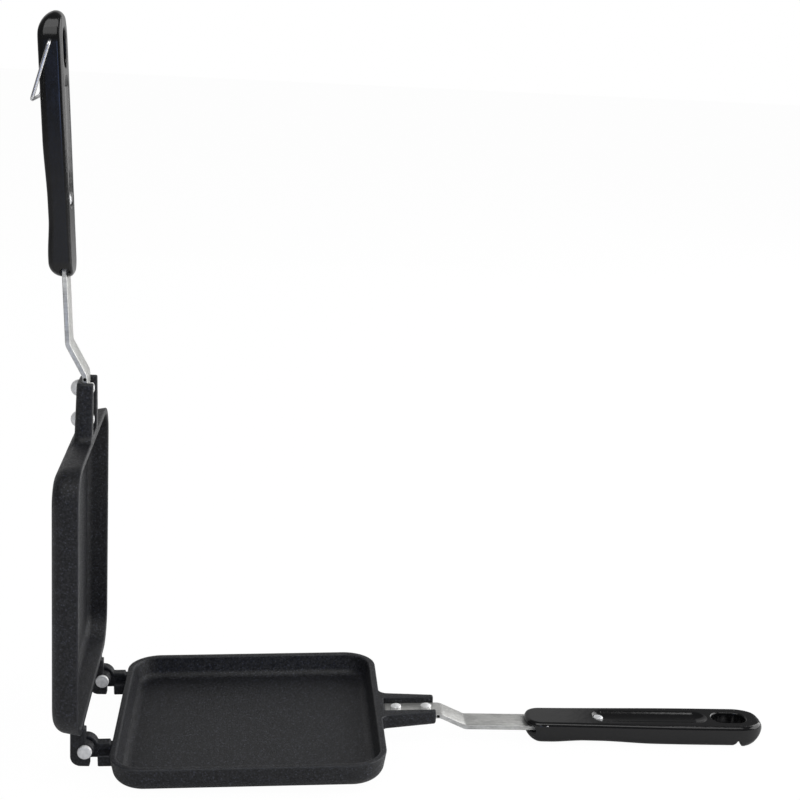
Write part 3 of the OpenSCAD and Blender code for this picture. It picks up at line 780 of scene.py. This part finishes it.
@dataclass
class Fastenings:
    """Rivets, screw, nut and set pin of one half."""

    place: HalfSizes
    rivet_d: float = 4.8
    dome_d: float = 8.88
    dome_h: float = 4.2
    closing_d: float = 6.14
    rivet_seat: float = -8.8
    head_d: float = 5.4
    seat: float = 2.4
    crown_r: float = 8.15
    crown_low: float = 6.2
    slot_w: float = 0.9
    slot_h: float = 1.1
    shank_r: float = 1.5
    nut_flats: float = 5.55
    nut_h: float = 2.4
    nut_bore_r: float = 1.56
    nut_seat: float = -3.5
    pin_x: float = 12.0
    pin_z: float = 2.18
    pin_len: float = 5.95
    pin_r: float = 0.9
    pin_round: float = 0.2
    pin_sunk: float = 0.05

    def rivet(self) -> Array:
        """Rivet profile: a spherical dome below, the shank, and a low crown closed on the strap."""
        seat, top = self.rivet_seat, -LAY.strap_sink
        r = (self.dome_d ** 2 / 4 + self.dome_h ** 2) / (2 * self.dome_h)
        a = math.degrees(math.asin(self.dome_d / 2 / r))
        dome = arc(0, seat - self.dome_h + r, r, -90, -90 + a, 14)
        dome[0, 0] = 0
        shank = [[self.rivet_d / 2, seat + 0.02], [self.rivet_d / 2, top - 0.02]]
        h = self.closing_d / 2
        head = np.concatenate([[[h - 0.25, top]], arc(h - 0.7, top + 1.75, 0.7, 0, 62, 6)])
        crown = [[h * 0.55, top + 2.86], [h * 0.25, top + 3.04], [0, top + 3.08]]
        return np.concatenate([dome, shank, head, crown])

    def screw(self, p: Array) -> Array:
        """Pan head with a rounded crown and a straight slot, on a plain shank."""
        x, y, z = p[:, 0] - LAY.screw_x, p[:, 1], p[:, 2]
        r = np.hypot(x, y)
        crown = np.sqrt(r ** 2 + (z - self.seat + self.crown_low) ** 2) - self.crown_r
        head = both(both(r - self.head_d / 2, crown, 0.35), self.seat - z, 0.15)
        slot = both(np.abs(y) - self.slot_w / 2, self.seat + self.slot_h - z, 0.08)
        shank = both(r - self.shank_r, np.abs(z + 1.7) - 4.1, 0.2)
        return np.minimum(without(head, slot, 0.12), shank)

    def nut(self, p: Array) -> Array:
        """Six-sided nut with chamfered corners and a bore round the screw."""
        half = self.nut_h / 2
        x, y, z = p[:, 0] - LAY.screw_x, p[:, 1], p[:, 2] - self.nut_seat + half
        r, sixth = np.hypot(x, y), np.pi / 3
        turn = (np.arctan2(y, x) + sixth) % sixth - sixth / 2
        flats = both(r * np.cos(turn) - self.nut_flats / 2, np.abs(z) - half, 0.15)
        return without(both(flats, r + np.abs(z) - 4.25, 0.1), r - self.nut_bore_r, 0.15)

    def build(self, dress: "Finishes") -> None:
        """Makes this half's fastenings."""
        name, body = self.place.name, self.place.body
        for word, at in zip(("inner", "outer"), LAY.rivets):
            skin = turned(self.rivet())
            skin.verts = skin.verts + [LAY.rim_end + at, 0, 0]
            skin = skin.placed(self.place.to_row)
            add_piece(f"{name}_{word}_rivet", "solid", skin, dress.rivet, body)
        g = graded((-3.3, 0), (3.3, 0.16))
        for word, shape, zs in (("screw", self.screw, graded((-6.2, 0), (2.0, 0.3), (4.8, 0.16))),
                                ("nut", self.nut, graded((-6.2, 0), (-3.2, 0.17)))):
            skin = wrap(shape, (g + LAY.screw_x, g + 0.005, zs), 0.3).placed(self.place.handle_to_row)
            add_piece(f"{name}_handle_{word}", "solid", skin, dress.zinc, body)
        self.set_pin(dress)

    def set_pin(self, dress: "Finishes") -> None:
        """Makes the short pin in the handle's side, drawn along z and laid along y."""
        c, e, n = self.pin_r - self.pin_round, self.pin_round, self.pin_len
        prof = np.concatenate([[[0, 0]], arc(c, e, e, -90, 0, 4), arc(c, n - e, e, 0, 90, 4), [[0, n]]])
        x = self.place.trim + self.pin_x
        side = half_width(x) - self.pin_sunk
        skin = turned(prof, 24).placed(lambda v: self.place.handle_to_row(
            np.c_[v[:, 0] + x, v[:, 2] - side, self.pin_z - v[:, 1]]))
        add_piece(self.place.name + "_set_pin", "solid", skin, dress.rivet, self.place.body)


@dataclass
class HingePins:
    """The two riveted hinge pins: a low domed head on the camera's side and a peened tail."""

    pin_d: float = 4.8
    head_d: float = 7.6
    head_h: float = 2.0
    tail_d: float = 6.4
    tail_h: float = 1.1
    stack: float = 11.5
    head_gap: float = 0.06

    def profile(self) -> Array:
        """Radius and height from the head's crown to the dimpled tail."""
        h, hr, tr = self.stack / 2, self.head_d / 2, self.tail_d / 2
        low = -h - self.head_gap
        crown = [[0, low - self.head_h], [hr * 0.45, low - self.head_h + 0.02],
                 [hr - 1.1, low - self.head_h + 0.12]]
        rim = arc(hr - 0.8, low - self.head_h + 0.95, 0.8, -65, 0, 7)
        mid = [[hr, low - 0.12], [hr - 0.12, low], [self.pin_d / 2, low], [self.pin_d / 2, h],
               [tr, h + 0.02], [tr, h + 0.5]]
        tail = arc(tr - 0.55, h + self.tail_h - 0.55, 0.55, 5, 85, 6)
        return np.concatenate([crown, rim, mid, tail, [[1.0, h + self.tail_h], [0.7, h + 0.85],
                                                       [0, h + 0.75]]])

    def build(self, dress: "Finishes") -> None:
        """Makes both pins, turned about z and laid along y on the hinge axis."""
        for word, side in (("front", -1), ("rear", 1)):
            skin = turned(self.profile()).placed(lambda v: LOWER.to_row(
                np.c_[v[:, 0], v[:, 2] + side * LAY.hinge_y, -v[:, 1] - LAY.pin_drop]))
            add_piece(word + "_hinge_pin", "solid", skin, dress.pin, LOWER.body)


@dataclass
class LatchBail:
    """Wire bail: a round section carried along two legs, two turned-in ends and a cross bar."""

    wire_d: float = 1.79
    length: float = 29.7
    hang: float = 19.2
    bend: float = 1.9
    end_y: float = 7.2
    side_share: float = 0.9999
    side_gap: float = 0.1

    @property
    def leg_y(self) -> float:
        """Place of a leg across the handle, a bend and a gap clear of the handle's side."""
        return float(half_width(LAY.pivot_x)) * self.side_share + self.side_gap + self.bend

    def line(self) -> Array:
        """Half of the bail's middle line: out along y, round a bend, along the leg, round to the bar."""
        r, y, n = self.bend, self.leg_y, self.length
        first = arc(-r, y - r, r, 0, 90, 10)
        second = arc(-n + r, y - r, r, 90, 180, 10)
        return np.concatenate([[[0, self.end_y], [0, self.end_y + 0.4]], first, second])

    def build(self, dress: "Finishes") -> None:
        """Makes the bail. A section point lies cos(a) along the plane's normal and sin(a) across."""
        half = self.line()
        path = np.concatenate([half, (half * [1, -1])[::-1]])
        ahead = np.gradient(path, axis=0)
        ahead /= np.linalg.norm(ahead, axis=1)[:, None]
        across = np.c_[ahead[:, 1], -ahead[:, 0]]
        a = np.linspace(0, 2 * np.pi, 20, endpoint=False)
        r = self.wire_d / 2
        flat = path[:, None, :] + across[:, None, :] * (r * np.sin(a))[None, :, None]
        up = np.repeat((r * np.cos(a))[None, :], len(path), 0)
        skin = carried(np.stack([flat[..., 0], flat[..., 1], up], -1))
        t = math.radians(self.hang)

        def lay(v: Array) -> Array:
            """Swings the bail out to its hanging angle and sets it on its pivot."""
            x = v[:, 0] * math.cos(t) - v[:, 2] * math.sin(t) + LAY.pivot_x
            z = v[:, 0] * math.sin(t) + v[:, 2] * math.cos(t) - LAY.pivot_drop
            return UPPER.handle_to_row(np.c_[x, v[:, 1], z])

        add_piece("latch_bail", "wire", skin.placed(lay), dress.wire, "bail")


# ---- Putting a skin into a mesh ----


def add_piece(node: str, form: str, skin: Skin, finish: Material, body: str) -> None:
    """Makes a mesh object of a skin, dresses it and fixes it to its CAD body.

    Faces are turned outwards, away from the mean corner; normals made from faces turn with them.

    Args:
        node: the CAD node it stands for.
        form: the word that the piece's name adds to the node's.
        skin: its surface in the row frame, in metres.
        finish: its material.
        body: the CAD body it rides on.
    """
    name, v, q = node + "_" + form, skin.verts, skin.quads
    faces = [f for part in (q, skin.tris) if part is not None for f in part.tolist()] + skin.caps
    across = np.cross(v[q[:, 2]] - v[q[:, 0]], v[q[:, 3]] - v[q[:, 1]])
    normals = skin.normals
    if np.einsum("ij,ij->i", v[q].mean(1) - v.mean(0), across).sum() < 0:
        faces = [f[::-1] for f in faces]
        if skin.edge is None:
            normals = -normals
    mesh = bpy.data.meshes.new(name)
    mesh.from_pydata(v.tolist(), [], faces)
    flags = np.ones(len(faces), bool)
    flags[len(faces) - len(skin.caps):] = False
    mesh.polygons.foreach_set("use_smooth", flags)
    mesh.update()
    if skin.edge is not None:
        attribute = mesh.attributes.new("edge", "FLOAT", "POINT")
        attribute.data.foreach_set("value", skin.edge.astype(np.float32))
    if not skin.caps:
        mesh.normals_split_custom_set_from_vertices(normals.tolist())
    mesh.materials.append(finish)
    piece = bpy.data.objects.new(name, mesh)
    SCENE.collection.objects.link(piece)
    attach(piece, body)
    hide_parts(node)
    LOG.info("%s: %d corners, %d faces", name, len(v), len(faces))


# ---- Finishes ----


class Sockets(Enum):
    """Kinds of socket that the shared effects use."""

    VALUE = "NodeSocketFloat"
    VECTOR = "NodeSocketVector"


@dataclass
class Graph:
    """Short way to place and link nodes in one tree."""

    tree: Tree

    def add(self, kind: str, **values: object) -> Node:
        """Places a node and sets its properties; a name that is a socket sets that input."""
        node = self.tree.nodes.new(kind)
        for key, value in values.items():
            if hasattr(node, key):
                setattr(node, key, value)
            else:
                node.inputs[key.replace("_", " ")].default_value = value
        return node

    def link(self, a: Socket, b: Socket) -> None:
        """Links an output to an input."""
        self.tree.links.new(a, b)

    def feed(self, item: object, socket: Socket) -> None:
        """Links an output to an input, or sets the input to a number or a colour."""
        if isinstance(item, Socket):
            self.link(item, socket)
        else:
            socket.default_value = (*item, 1.0) if isinstance(item, tuple) else item

    def maths(self, operation: str, a: object, b: object = 0.0) -> Socket:
        """Math node on sockets or numbers."""
        node = self.add("ShaderNodeMath", operation=operation)
        self.feed(a, node.inputs[0])
        self.feed(b, node.inputs[1])
        return node.outputs[0]

    def times(self, a: object, b: object) -> Socket:
        """Product of sockets or numbers."""
        return self.maths("MULTIPLY", a, b)

    def plus(self, a: object, b: object) -> Socket:
        """Sum of sockets or numbers."""
        return self.maths("ADD", a, b)

    def mixed(self, mask: Socket, a: object, b: object) -> Socket:
        """Colour a turned towards colour b by a mask."""
        node = self.add("ShaderNodeMix", data_type="RGBA")
        self.link(mask, node.inputs["Factor"])
        self.feed(a, node.inputs[6])
        self.feed(b, node.inputs[7])
        return node.outputs[2]

    def raised(self, height: Socket, strength: float, distance: float, shader: Node) -> None:
        """Feeds a height through a Bump node to the shader's normal."""
        bump = self.add("ShaderNodeBump", Strength=strength, Distance=distance)
        self.link(height, bump.inputs["Height"])
        self.link(bump.outputs["Normal"], shader.inputs["Normal"])

    def effect(self, tree: Tree, place: Socket, **values: float) -> Node:
        """Places a shared effect with its own values."""
        node = self.add("ShaderNodeGroup", node_tree=tree)
        self.link(place, node.inputs["Place"])
        for key, value in values.items():
            node.inputs[key].default_value = value
        return node

    def stretched(self, where: Socket, scale: Triple) -> Socket:
        """Place scaled by a fixed amount along each axis."""
        node = self.add("ShaderNodeMapping", Scale=scale)
        self.link(where, node.inputs["Vector"])
        return node.outputs["Vector"]

    def spread(self, value: Socket, low: float, high: float,
               to_low: float = 0.0, to_high: float = 1.0) -> Socket:
        """Maps low..high of a value onto to_low..to_high, held at the ends."""
        node = self.add("ShaderNodeMapRange", clamp=True)
        self.link(value, node.inputs["Value"])
        for key, number in (("From Min", low), ("From Max", high), ("To Min", to_low),
                            ("To Max", to_high)):
            node.inputs[key].default_value = number
        return node.outputs["Result"]

    def noise(self, where: Socket, scale: float, detail: float = 4.0, rough: float = 0.55) -> Socket:
        """Noise value at a place."""
        node = self.add("ShaderNodeTexNoise", Scale=scale, Detail=detail, Roughness=rough)
        self.link(where, node.inputs["Vector"])
        return node.outputs["Fac"]


def new_group(name: str, inputs: dict[str, tuple[Sockets, object]],
              outputs: dict[str, Sockets]) -> tuple[Graph, dict, dict]:
    """Starts a shader node group with named sockets.

    Args:
        name: the group's name.
        inputs: each input's kind and default.
        outputs: each output's kind.

    Returns:
        The group's graph, and its input and output sockets inside the group.
    """
    tree = bpy.data.node_groups.new(name, "ShaderNodeTree")
    for key, (kind, value) in inputs.items():
        socket = tree.interface.new_socket(key, in_out="INPUT", socket_type=kind.value)
        if value is not None:
            socket.default_value = value
    for key, kind in outputs.items():
        tree.interface.new_socket(key, in_out="OUTPUT", socket_type=kind.value)
    inside, outside = tree.nodes.new("NodeGroupInput"), tree.nodes.new("NodeGroupOutput")
    return (Graph(tree), {k: inside.outputs[k] for k in inputs},
            {k: outside.inputs[k] for k in outputs})


def grain_group() -> Tree:
    """Fine sprayed-coat grain: two noises and sparse bright specks."""
    g, i, o = new_group(
        "coat_grain", {"Place": (Sockets.VECTOR, None), "Scale": (Sockets.VALUE, 1.0)},
        {"Height": Sockets.VALUE, "Specks": Sockets.VALUE, "Cloud": Sockets.VALUE})
    scaled = g.add("ShaderNodeVectorMath", operation="SCALE")
    g.link(i["Place"], scaled.inputs[0])
    g.link(i["Scale"], scaled.inputs["Scale"])
    place = scaled.outputs[0]
    fine, soft = g.noise(place, 1900, 3), g.noise(place, 520, 2)
    g.link(g.plus(g.times(fine, 0.6), g.times(soft, 0.5)), o["Height"])
    dots = g.add("ShaderNodeTexVoronoi", Scale=820, feature="F1")
    g.link(place, dots.inputs["Vector"])
    near = g.spread(dots.outputs["Distance"], 0.16, 0.42, 1, 0)
    pick = g.spread(g.noise(place, 480, 2), 0.36, 0.62)
    g.link(g.times(near, pick), o["Specks"])
    g.link(g.noise(place, 760, 3, 0.6), o["Cloud"])
    return g.tree


def wear_group() -> Tree:
    """Rubbed edges: the piece's edge mask broken up by noise; on the coating it also paints an edge
    highlight.
    """
    g, i, o = new_group(
        "edge_wear", {"Place": (Sockets.VECTOR, None), "Low": (Sockets.VALUE, 0.3),
                      "High": (Sockets.VALUE, 1.2), "Break": (Sockets.VALUE, 0.5)},
        {"Mask": Sockets.VALUE})
    edge = g.add("ShaderNodeAttribute", attribute_name="edge")
    node = g.add("ShaderNodeMapRange", clamp=True)
    g.link(edge.outputs["Fac"], node.inputs["Value"])
    g.link(i["Low"], node.inputs["From Min"])
    g.link(i["High"], node.inputs["From Max"])
    broken = g.spread(g.noise(i["Place"], 260, 5), 0.3, 0.7)
    keep = g.maths("SUBTRACT", 1.0, g.times(broken, i["Break"]))
    g.link(g.times(node.outputs["Result"], keep), o["Mask"])
    return g.tree


def brush_group() -> Tree:
    """Rolled and brushed metal: noise drawn out along one axis, and faint blotches."""
    g, i, o = new_group(
        "brushed", {"Place": (Sockets.VECTOR, None)},
        {"Height": Sockets.VALUE, "Streak": Sockets.VALUE, "Blotch": Sockets.VALUE})
    fine = g.noise(g.stretched(i["Place"], (0.06, 1, 1)), 2600, 3)
    wide = g.noise(g.stretched(i["Place"], (0.12, 1, 1)), 700, 3)
    g.link(g.plus(g.times(fine, 0.5), g.times(wide, 0.5)), o["Height"])
    g.link(g.spread(wide, 0.3, 0.7), o["Streak"])
    g.link(g.spread(g.noise(i["Place"], 150, 5, 0.62), 0.42, 0.66), o["Blotch"])
    return g.tree


@dataclass(frozen=True)
class Coating:
    """Black non-stick coat on cast metal."""

    colour: Triple = (0.006, 0.0063, 0.0075)
    speck: Triple = (0.085, 0.09, 0.12)
    # Paler grey for the random cloud and for sharp edges, which are rubbed and also carry a painted edge
    # highlight.
    wear_and_sheen: Triple = (0.034, 0.035, 0.039)
    roughness: float = 0.46
    bump: float = 0.85
    specular: float = 0.33


@dataclass(frozen=True)
class Phenolic:
    """Polished black moulding."""

    colour: Triple = (0.0065, 0.0065, 0.007)
    scuff: Triple = (0.02, 0.02, 0.021)
    roughness: float = 0.13
    bump: float = 0.12
    specular: float = 0.43


@dataclass(frozen=True)
class Metal:
    """Bare metal with a streaked or dented surface."""

    name: str
    colour: Triple
    shade: Triple
    roughness: float
    bump: float
    streaked: bool = True
    metallic: float = 1.0
    # The last two fields paint a near-black shade into a mesh's edge mask: painted shade in the strap's
    # notch.
    paints_notch_shade: bool = False
    notch_shade_colour: Triple = (0.002, 0.002, 0.002)


class Finishes:
    """Materials of the iron, each built once."""

    def __init__(self) -> None:
        """Builds the shared effects, then each material."""
        self.grain, self.wear, self.brush = grain_group(), wear_group(), brush_group()
        self.coating = self.make_coating(Coating())
        self.phenolic = self.make_phenolic(Phenolic())
        # The strap steel's last flag paints a near-black shade into the strap's notch.
        self.steel = self.make_metal(
            Metal("strap_steel", (0.75, 0.75, 0.73), (0.41, 0.41, 0.40), 0.44, 0.2, True, 0.8, True))
        self.rivet = self.make_metal(
            Metal("rivet_metal", (0.99, 0.99, 0.99), (0.82, 0.82, 0.82), 0.38, 0.12, False, 0.3))
        self.pin = self.make_metal(
            Metal("hinge_pin_metal", (0.99, 0.99, 0.99), (0.66, 0.66, 0.66), 0.36, 0.25, False, 0.15))
        self.zinc = self.make_metal(
            Metal("zinc_plate", (0.93, 0.94, 0.95), (0.72, 0.73, 0.74), 0.38, 0.06, False, 0.35))
        self.wire = self.make_metal(
            Metal("bail_wire", (0.86, 0.86, 0.87), (0.68, 0.68, 0.69), 0.26, 0.03, True, 0.9))

    @staticmethod
    def start(name: str) -> tuple[Material, Graph, Node, Socket]:
        """Material with its shader and the Object coordinates.

        Returns:
            The material, its graph, its shader and the place socket.
        """
        material = bpy.data.materials.new(name)
        material.use_nodes = True
        graph = Graph(material.node_tree)
        shader = material.node_tree.nodes["Principled BSDF"]
        place = graph.add("ShaderNodeTexCoord").outputs["Object"]
        return material, graph, shader, place

    def make_coating(self, look: Coating) -> Material:
        """Matt black coat: cloudy tone, tiny pale specks, and sharp edges paler and glossier: rubbed,
        with a painted edge highlight.
        """
        material, g, shader, place = self.start("black_coating")
        grain = g.effect(self.grain, place, Scale=1.0).outputs
        wear_and_sheen = g.effect(self.wear, place, Low=0.25, High=1.3, Break=0.45).outputs["Mask"]
        colour = g.mixed(g.spread(grain["Cloud"], 0.42, 0.6, 0.0, 0.6), look.colour, look.wear_and_sheen)
        colour = g.mixed(g.times(grain["Specks"], 0.6), colour, look.speck)
        # Painted highlight on sharp edges, turned paler, which are also rubbed.
        g.link(g.mixed(wear_and_sheen, colour, look.wear_and_sheen), shader.inputs["Base Color"])
        rough = g.spread(grain["Cloud"], 0.36, 0.64, look.roughness - 0.1, look.roughness + 0.1)
        rough = g.maths("SUBTRACT", rough, g.times(grain["Specks"], 0.26))
        g.link(g.maths("SUBTRACT", rough, g.times(wear_and_sheen, 0.08)), shader.inputs["Roughness"])
        shader.inputs["Specular IOR Level"].default_value = look.specular
        g.raised(grain["Height"], look.bump, 0.0004, shader)
        return material

    def make_phenolic(self, look: Phenolic) -> Material:
        """Glossy black moulding: slow waviness, hairline scuffs and edges a little duller."""
        material, g, shader, place = self.start("black_phenolic")
        scuff = g.spread(g.noise(g.stretched(place, (0.15, 1, 1)), 1500, 5, 0.65), 0.62, 0.74)
        wear_and_sheen = g.effect(self.wear, place, Low=0.5, High=1.6, Break=0.8).outputs["Mask"]
        g.link(g.mixed(g.times(scuff, 0.25), look.colour, look.scuff), shader.inputs["Base Color"])
        rough = g.plus(g.plus(look.roughness, g.times(scuff, 0.12)), g.times(wear_and_sheen, 0.06))
        rough = g.plus(rough, g.spread(g.noise(place, 60, 3), 0.35, 0.7, 0.0, 0.04))
        g.link(rough, shader.inputs["Roughness"])
        shader.inputs["Specular IOR Level"].default_value = look.specular
        g.raised(g.noise(place, 140, 2), look.bump, 0.0006, shader)
        return material

    def make_metal(self, look: Metal) -> Material:
        """Bare metal: streaks or dents in its height, tone and gloss, and where asked a painted shade in
        the strap's notch.
        """
        material, g, shader, place = self.start(look.name)
        shader.inputs["Metallic"].default_value = look.metallic
        brush = g.effect(self.brush, place).outputs
        if look.streaked:
            height, tone = brush["Height"], brush["Streak"]
        else:
            height, tone = g.noise(place, 900, 3), g.spread(g.noise(place, 420, 4), 0.4, 0.68)
        mottle = g.times(g.plus(tone, brush["Blotch"]), 0.5)
        colour = g.mixed(mottle, look.colour, look.shade)
        # Painted shade: the edge mask, in the strap's notch, turns the colour near black.
        if look.paints_notch_shade:
            notch_shade_mask = g.add("ShaderNodeAttribute", attribute_name="edge").outputs["Fac"]
            colour = g.mixed(notch_shade_mask, colour, look.notch_shade_colour)
        g.link(colour, shader.inputs["Base Color"])
        rough = g.spread(mottle, 0.1, 0.9, look.roughness - 0.05, look.roughness + 0.08)
        g.link(rough, shader.inputs["Roughness"])
        g.raised(height, look.bump, 0.0003, shader)
        return material


# ---- Studio ----


@dataclass(frozen=True)
class Lamp:
    """Soft rectangular lamp at a place, facing a point, of a given brightness."""

    name: str
    at: Triple
    to: Triple
    size: Pair
    glow: float
    colour: Triple = (1.0, 1.0, 1.0)


LAMPS = (
    Lamp("top", (0.1, -0.85, 1.9), (0.1, 0, 0.0), (2.0, 0.9), 2.4),
    Lamp("front", (-0.5, -1.6, 1.5), (0.0, 0, 0.1), (1.3, 0.9), 1.9),
    Lamp("back", (-0.72, 1.6, 0.85), (-0.72, 0, 0.85), (2.61, 1.5), 0.34),
    Lamp("right", (1.6, 0.35, 0.66), (0.29, 0, 0.0), (2.6, 1.3), 2.9),
    Lamp("streak", (0.83, 0.12, 1.9), (0.83, 0.1, 0.0), (0.07, 0.55), 4.5),
    Lamp("sky", (-0.03, -1.6, 0.25), (-0.03, 0, 0.1), (0.42, 0.3), 2.4, (0.35, 0.5, 1.0)),
)


def oriented(side: Array, up: Array, back: Array, at: Sequence[float]) -> Matrix:
    """Matrix whose columns are three directions and a place."""
    matrix = np.eye(4)
    matrix[:3] = np.c_[side, up, back, at]
    return Matrix(matrix.tolist())


@dataclass
class Studio:
    """Pale floor, soft lamps, pale surroundings and the camera of the photograph."""

    camera_at: Triple = (0.016535, -0.825924, 0.408528)
    yaw: float = -0.078265
    pitch: float = 0.256458
    roll: float = 0.015432
    focal_px: float = 1597.27
    picture_px: float = 800.0
    sensor: float = 36.0
    backdrop: float = 1.0
    world_light: float = 0.13
    rests: Triple = (-0.0655, 0.2665, -0.01185)
    floor_reach: float = 6.0
    floor_gap: float = 0.0002
    floor_colour: Triple = (0.82, 0.82, 0.82)
    floor_roughness: float = 0.9
    floor_glow: float = 1.02
    floor_glow_share: float = 0.96

    def axes(self) -> tuple[Array, Array, Array]:
        """Right, up and forward directions from yaw, pitch and roll, turned in that order."""
        y, p, r = self.yaw, self.pitch, self.roll
        ahead = np.array([-math.sin(y), math.cos(y), 0.0])
        right = np.array([math.cos(y), math.sin(y), 0.0])
        up = np.array([0.0, 0.0, 1.0])
        view = math.cos(p) * ahead - math.sin(p) * up
        lift = math.cos(p) * up + math.sin(p) * ahead
        return (math.cos(r) * right + math.sin(r) * lift,
                -math.sin(r) * right + math.cos(r) * lift, view)

    def make_camera(self) -> None:
        """Places the camera of the photograph."""
        right, up, view = self.axes()
        data = bpy.data.cameras.new("camera")
        data.sensor_width, data.sensor_fit = self.sensor, "AUTO"
        data.lens = self.focal_px * self.sensor / self.picture_px
        data.clip_start, data.clip_end = 0.05, 50
        camera = bpy.data.objects.new("camera", data)
        camera.matrix_world = oriented(right, up, -view, self.camera_at)
        SCENE.collection.objects.link(camera)
        SCENE.camera = camera

    def make_floor(self) -> None:
        """Pale floor under the base's hinge-side edge and the lower handle, which the iron leans on.

        The two rest at x of rests[0] and rests[1], the second at a height of rests[2]. Camera rays see
        it as white, and all others as a pale matt surface.
        """
        edge_x, handle_x, handle_z = self.rests
        slope = handle_z / (handle_x - edge_x)
        xs, ys = self.floor_reach * np.array([[-1, 1, 1, -1], [-1, -1, 1, 1]])
        zs = slope * (xs - edge_x) - self.floor_gap
        mesh = bpy.data.meshes.new("floor")
        mesh.from_pydata(np.c_[xs, ys, zs].tolist(), [], [[0, 1, 2, 3]])
        floor = bpy.data.objects.new("floor", mesh)
        SCENE.collection.objects.link(floor)
        material = bpy.data.materials.new("floor")
        material.use_nodes = True
        g = Graph(material.node_tree)
        nodes = material.node_tree.nodes
        shader, out = nodes["Principled BSDF"], nodes["Material Output"]
        shader.inputs["Base Color"].default_value = (*self.floor_colour, 1)
        shader.inputs["Roughness"].default_value = self.floor_roughness
        glow = g.add("ShaderNodeEmission", Strength=self.backdrop * self.floor_glow)
        rays = g.add("ShaderNodeLightPath")
        mix = g.add("ShaderNodeMixShader")
        g.link(g.times(rays.outputs["Is Camera Ray"], self.floor_glow_share), mix.inputs["Fac"])
        g.link(shader.outputs[0], mix.inputs[1])
        g.link(glow.outputs[0], mix.inputs[2])
        g.link(mix.outputs[0], out.inputs["Surface"])
        mesh.materials.append(material)

    def make_world(self) -> None:
        """Plain surroundings: white to camera rays, and a soft even light to all others."""
        world = bpy.data.worlds.new("surroundings")
        world.use_nodes = True
        g = Graph(world.node_tree)
        background = world.node_tree.nodes["Background"]
        background.inputs["Color"].default_value = (1, 1, 1, 1)
        rays = g.add("ShaderNodeLightPath")
        seen = rays.outputs["Is Camera Ray"]
        g.link(g.spread(seen, 0, 1, self.world_light, self.backdrop), background.inputs["Strength"])
        SCENE.world = world

    def make_lamp(self, lamp: Lamp) -> None:
        """Places a lamp, unseen directly. Its energy is its glow times its area and pi."""
        data = bpy.data.lights.new(lamp.name, "AREA")
        data.shape, (data.size, data.size_y) = "RECTANGLE", lamp.size
        data.energy = lamp.glow * data.size * data.size_y * math.pi
        data.color = lamp.colour
        light = bpy.data.objects.new(lamp.name, data)
        light.visible_camera = False
        back = np.array(lamp.at, float) - np.array(lamp.to, float)
        back /= np.linalg.norm(back)
        side = np.cross([0, 0, 1], back)
        side /= np.linalg.norm(side)
        light.matrix_world = oriented(side, np.cross(back, side), back, lamp.at)
        SCENE.collection.objects.link(light)

    def build(self) -> None:
        """Builds the whole studio."""
        self.make_camera()
        self.make_floor()
        self.make_world()
        for lamp in LAMPS:
            self.make_lamp(lamp)
        SCENE.view_settings.view_transform = "Standard"


def main() -> None:
    """Builds the studio, the finishes and every piece of the iron."""
    logging.basicConfig(level=logging.INFO, format="%(message)s")
    Studio().build()
    dress = Finishes()
    for place in (LOWER, UPPER):
        PanCasting(place).build(dress)
        MouldedHandle(place).build(dress)
        BentStrap(place).build(dress)
        Fastenings(place).build(dress)
    HingePins().build(dress)
    LatchBail().build(dress)


if __name__ == "__main__":
    main()
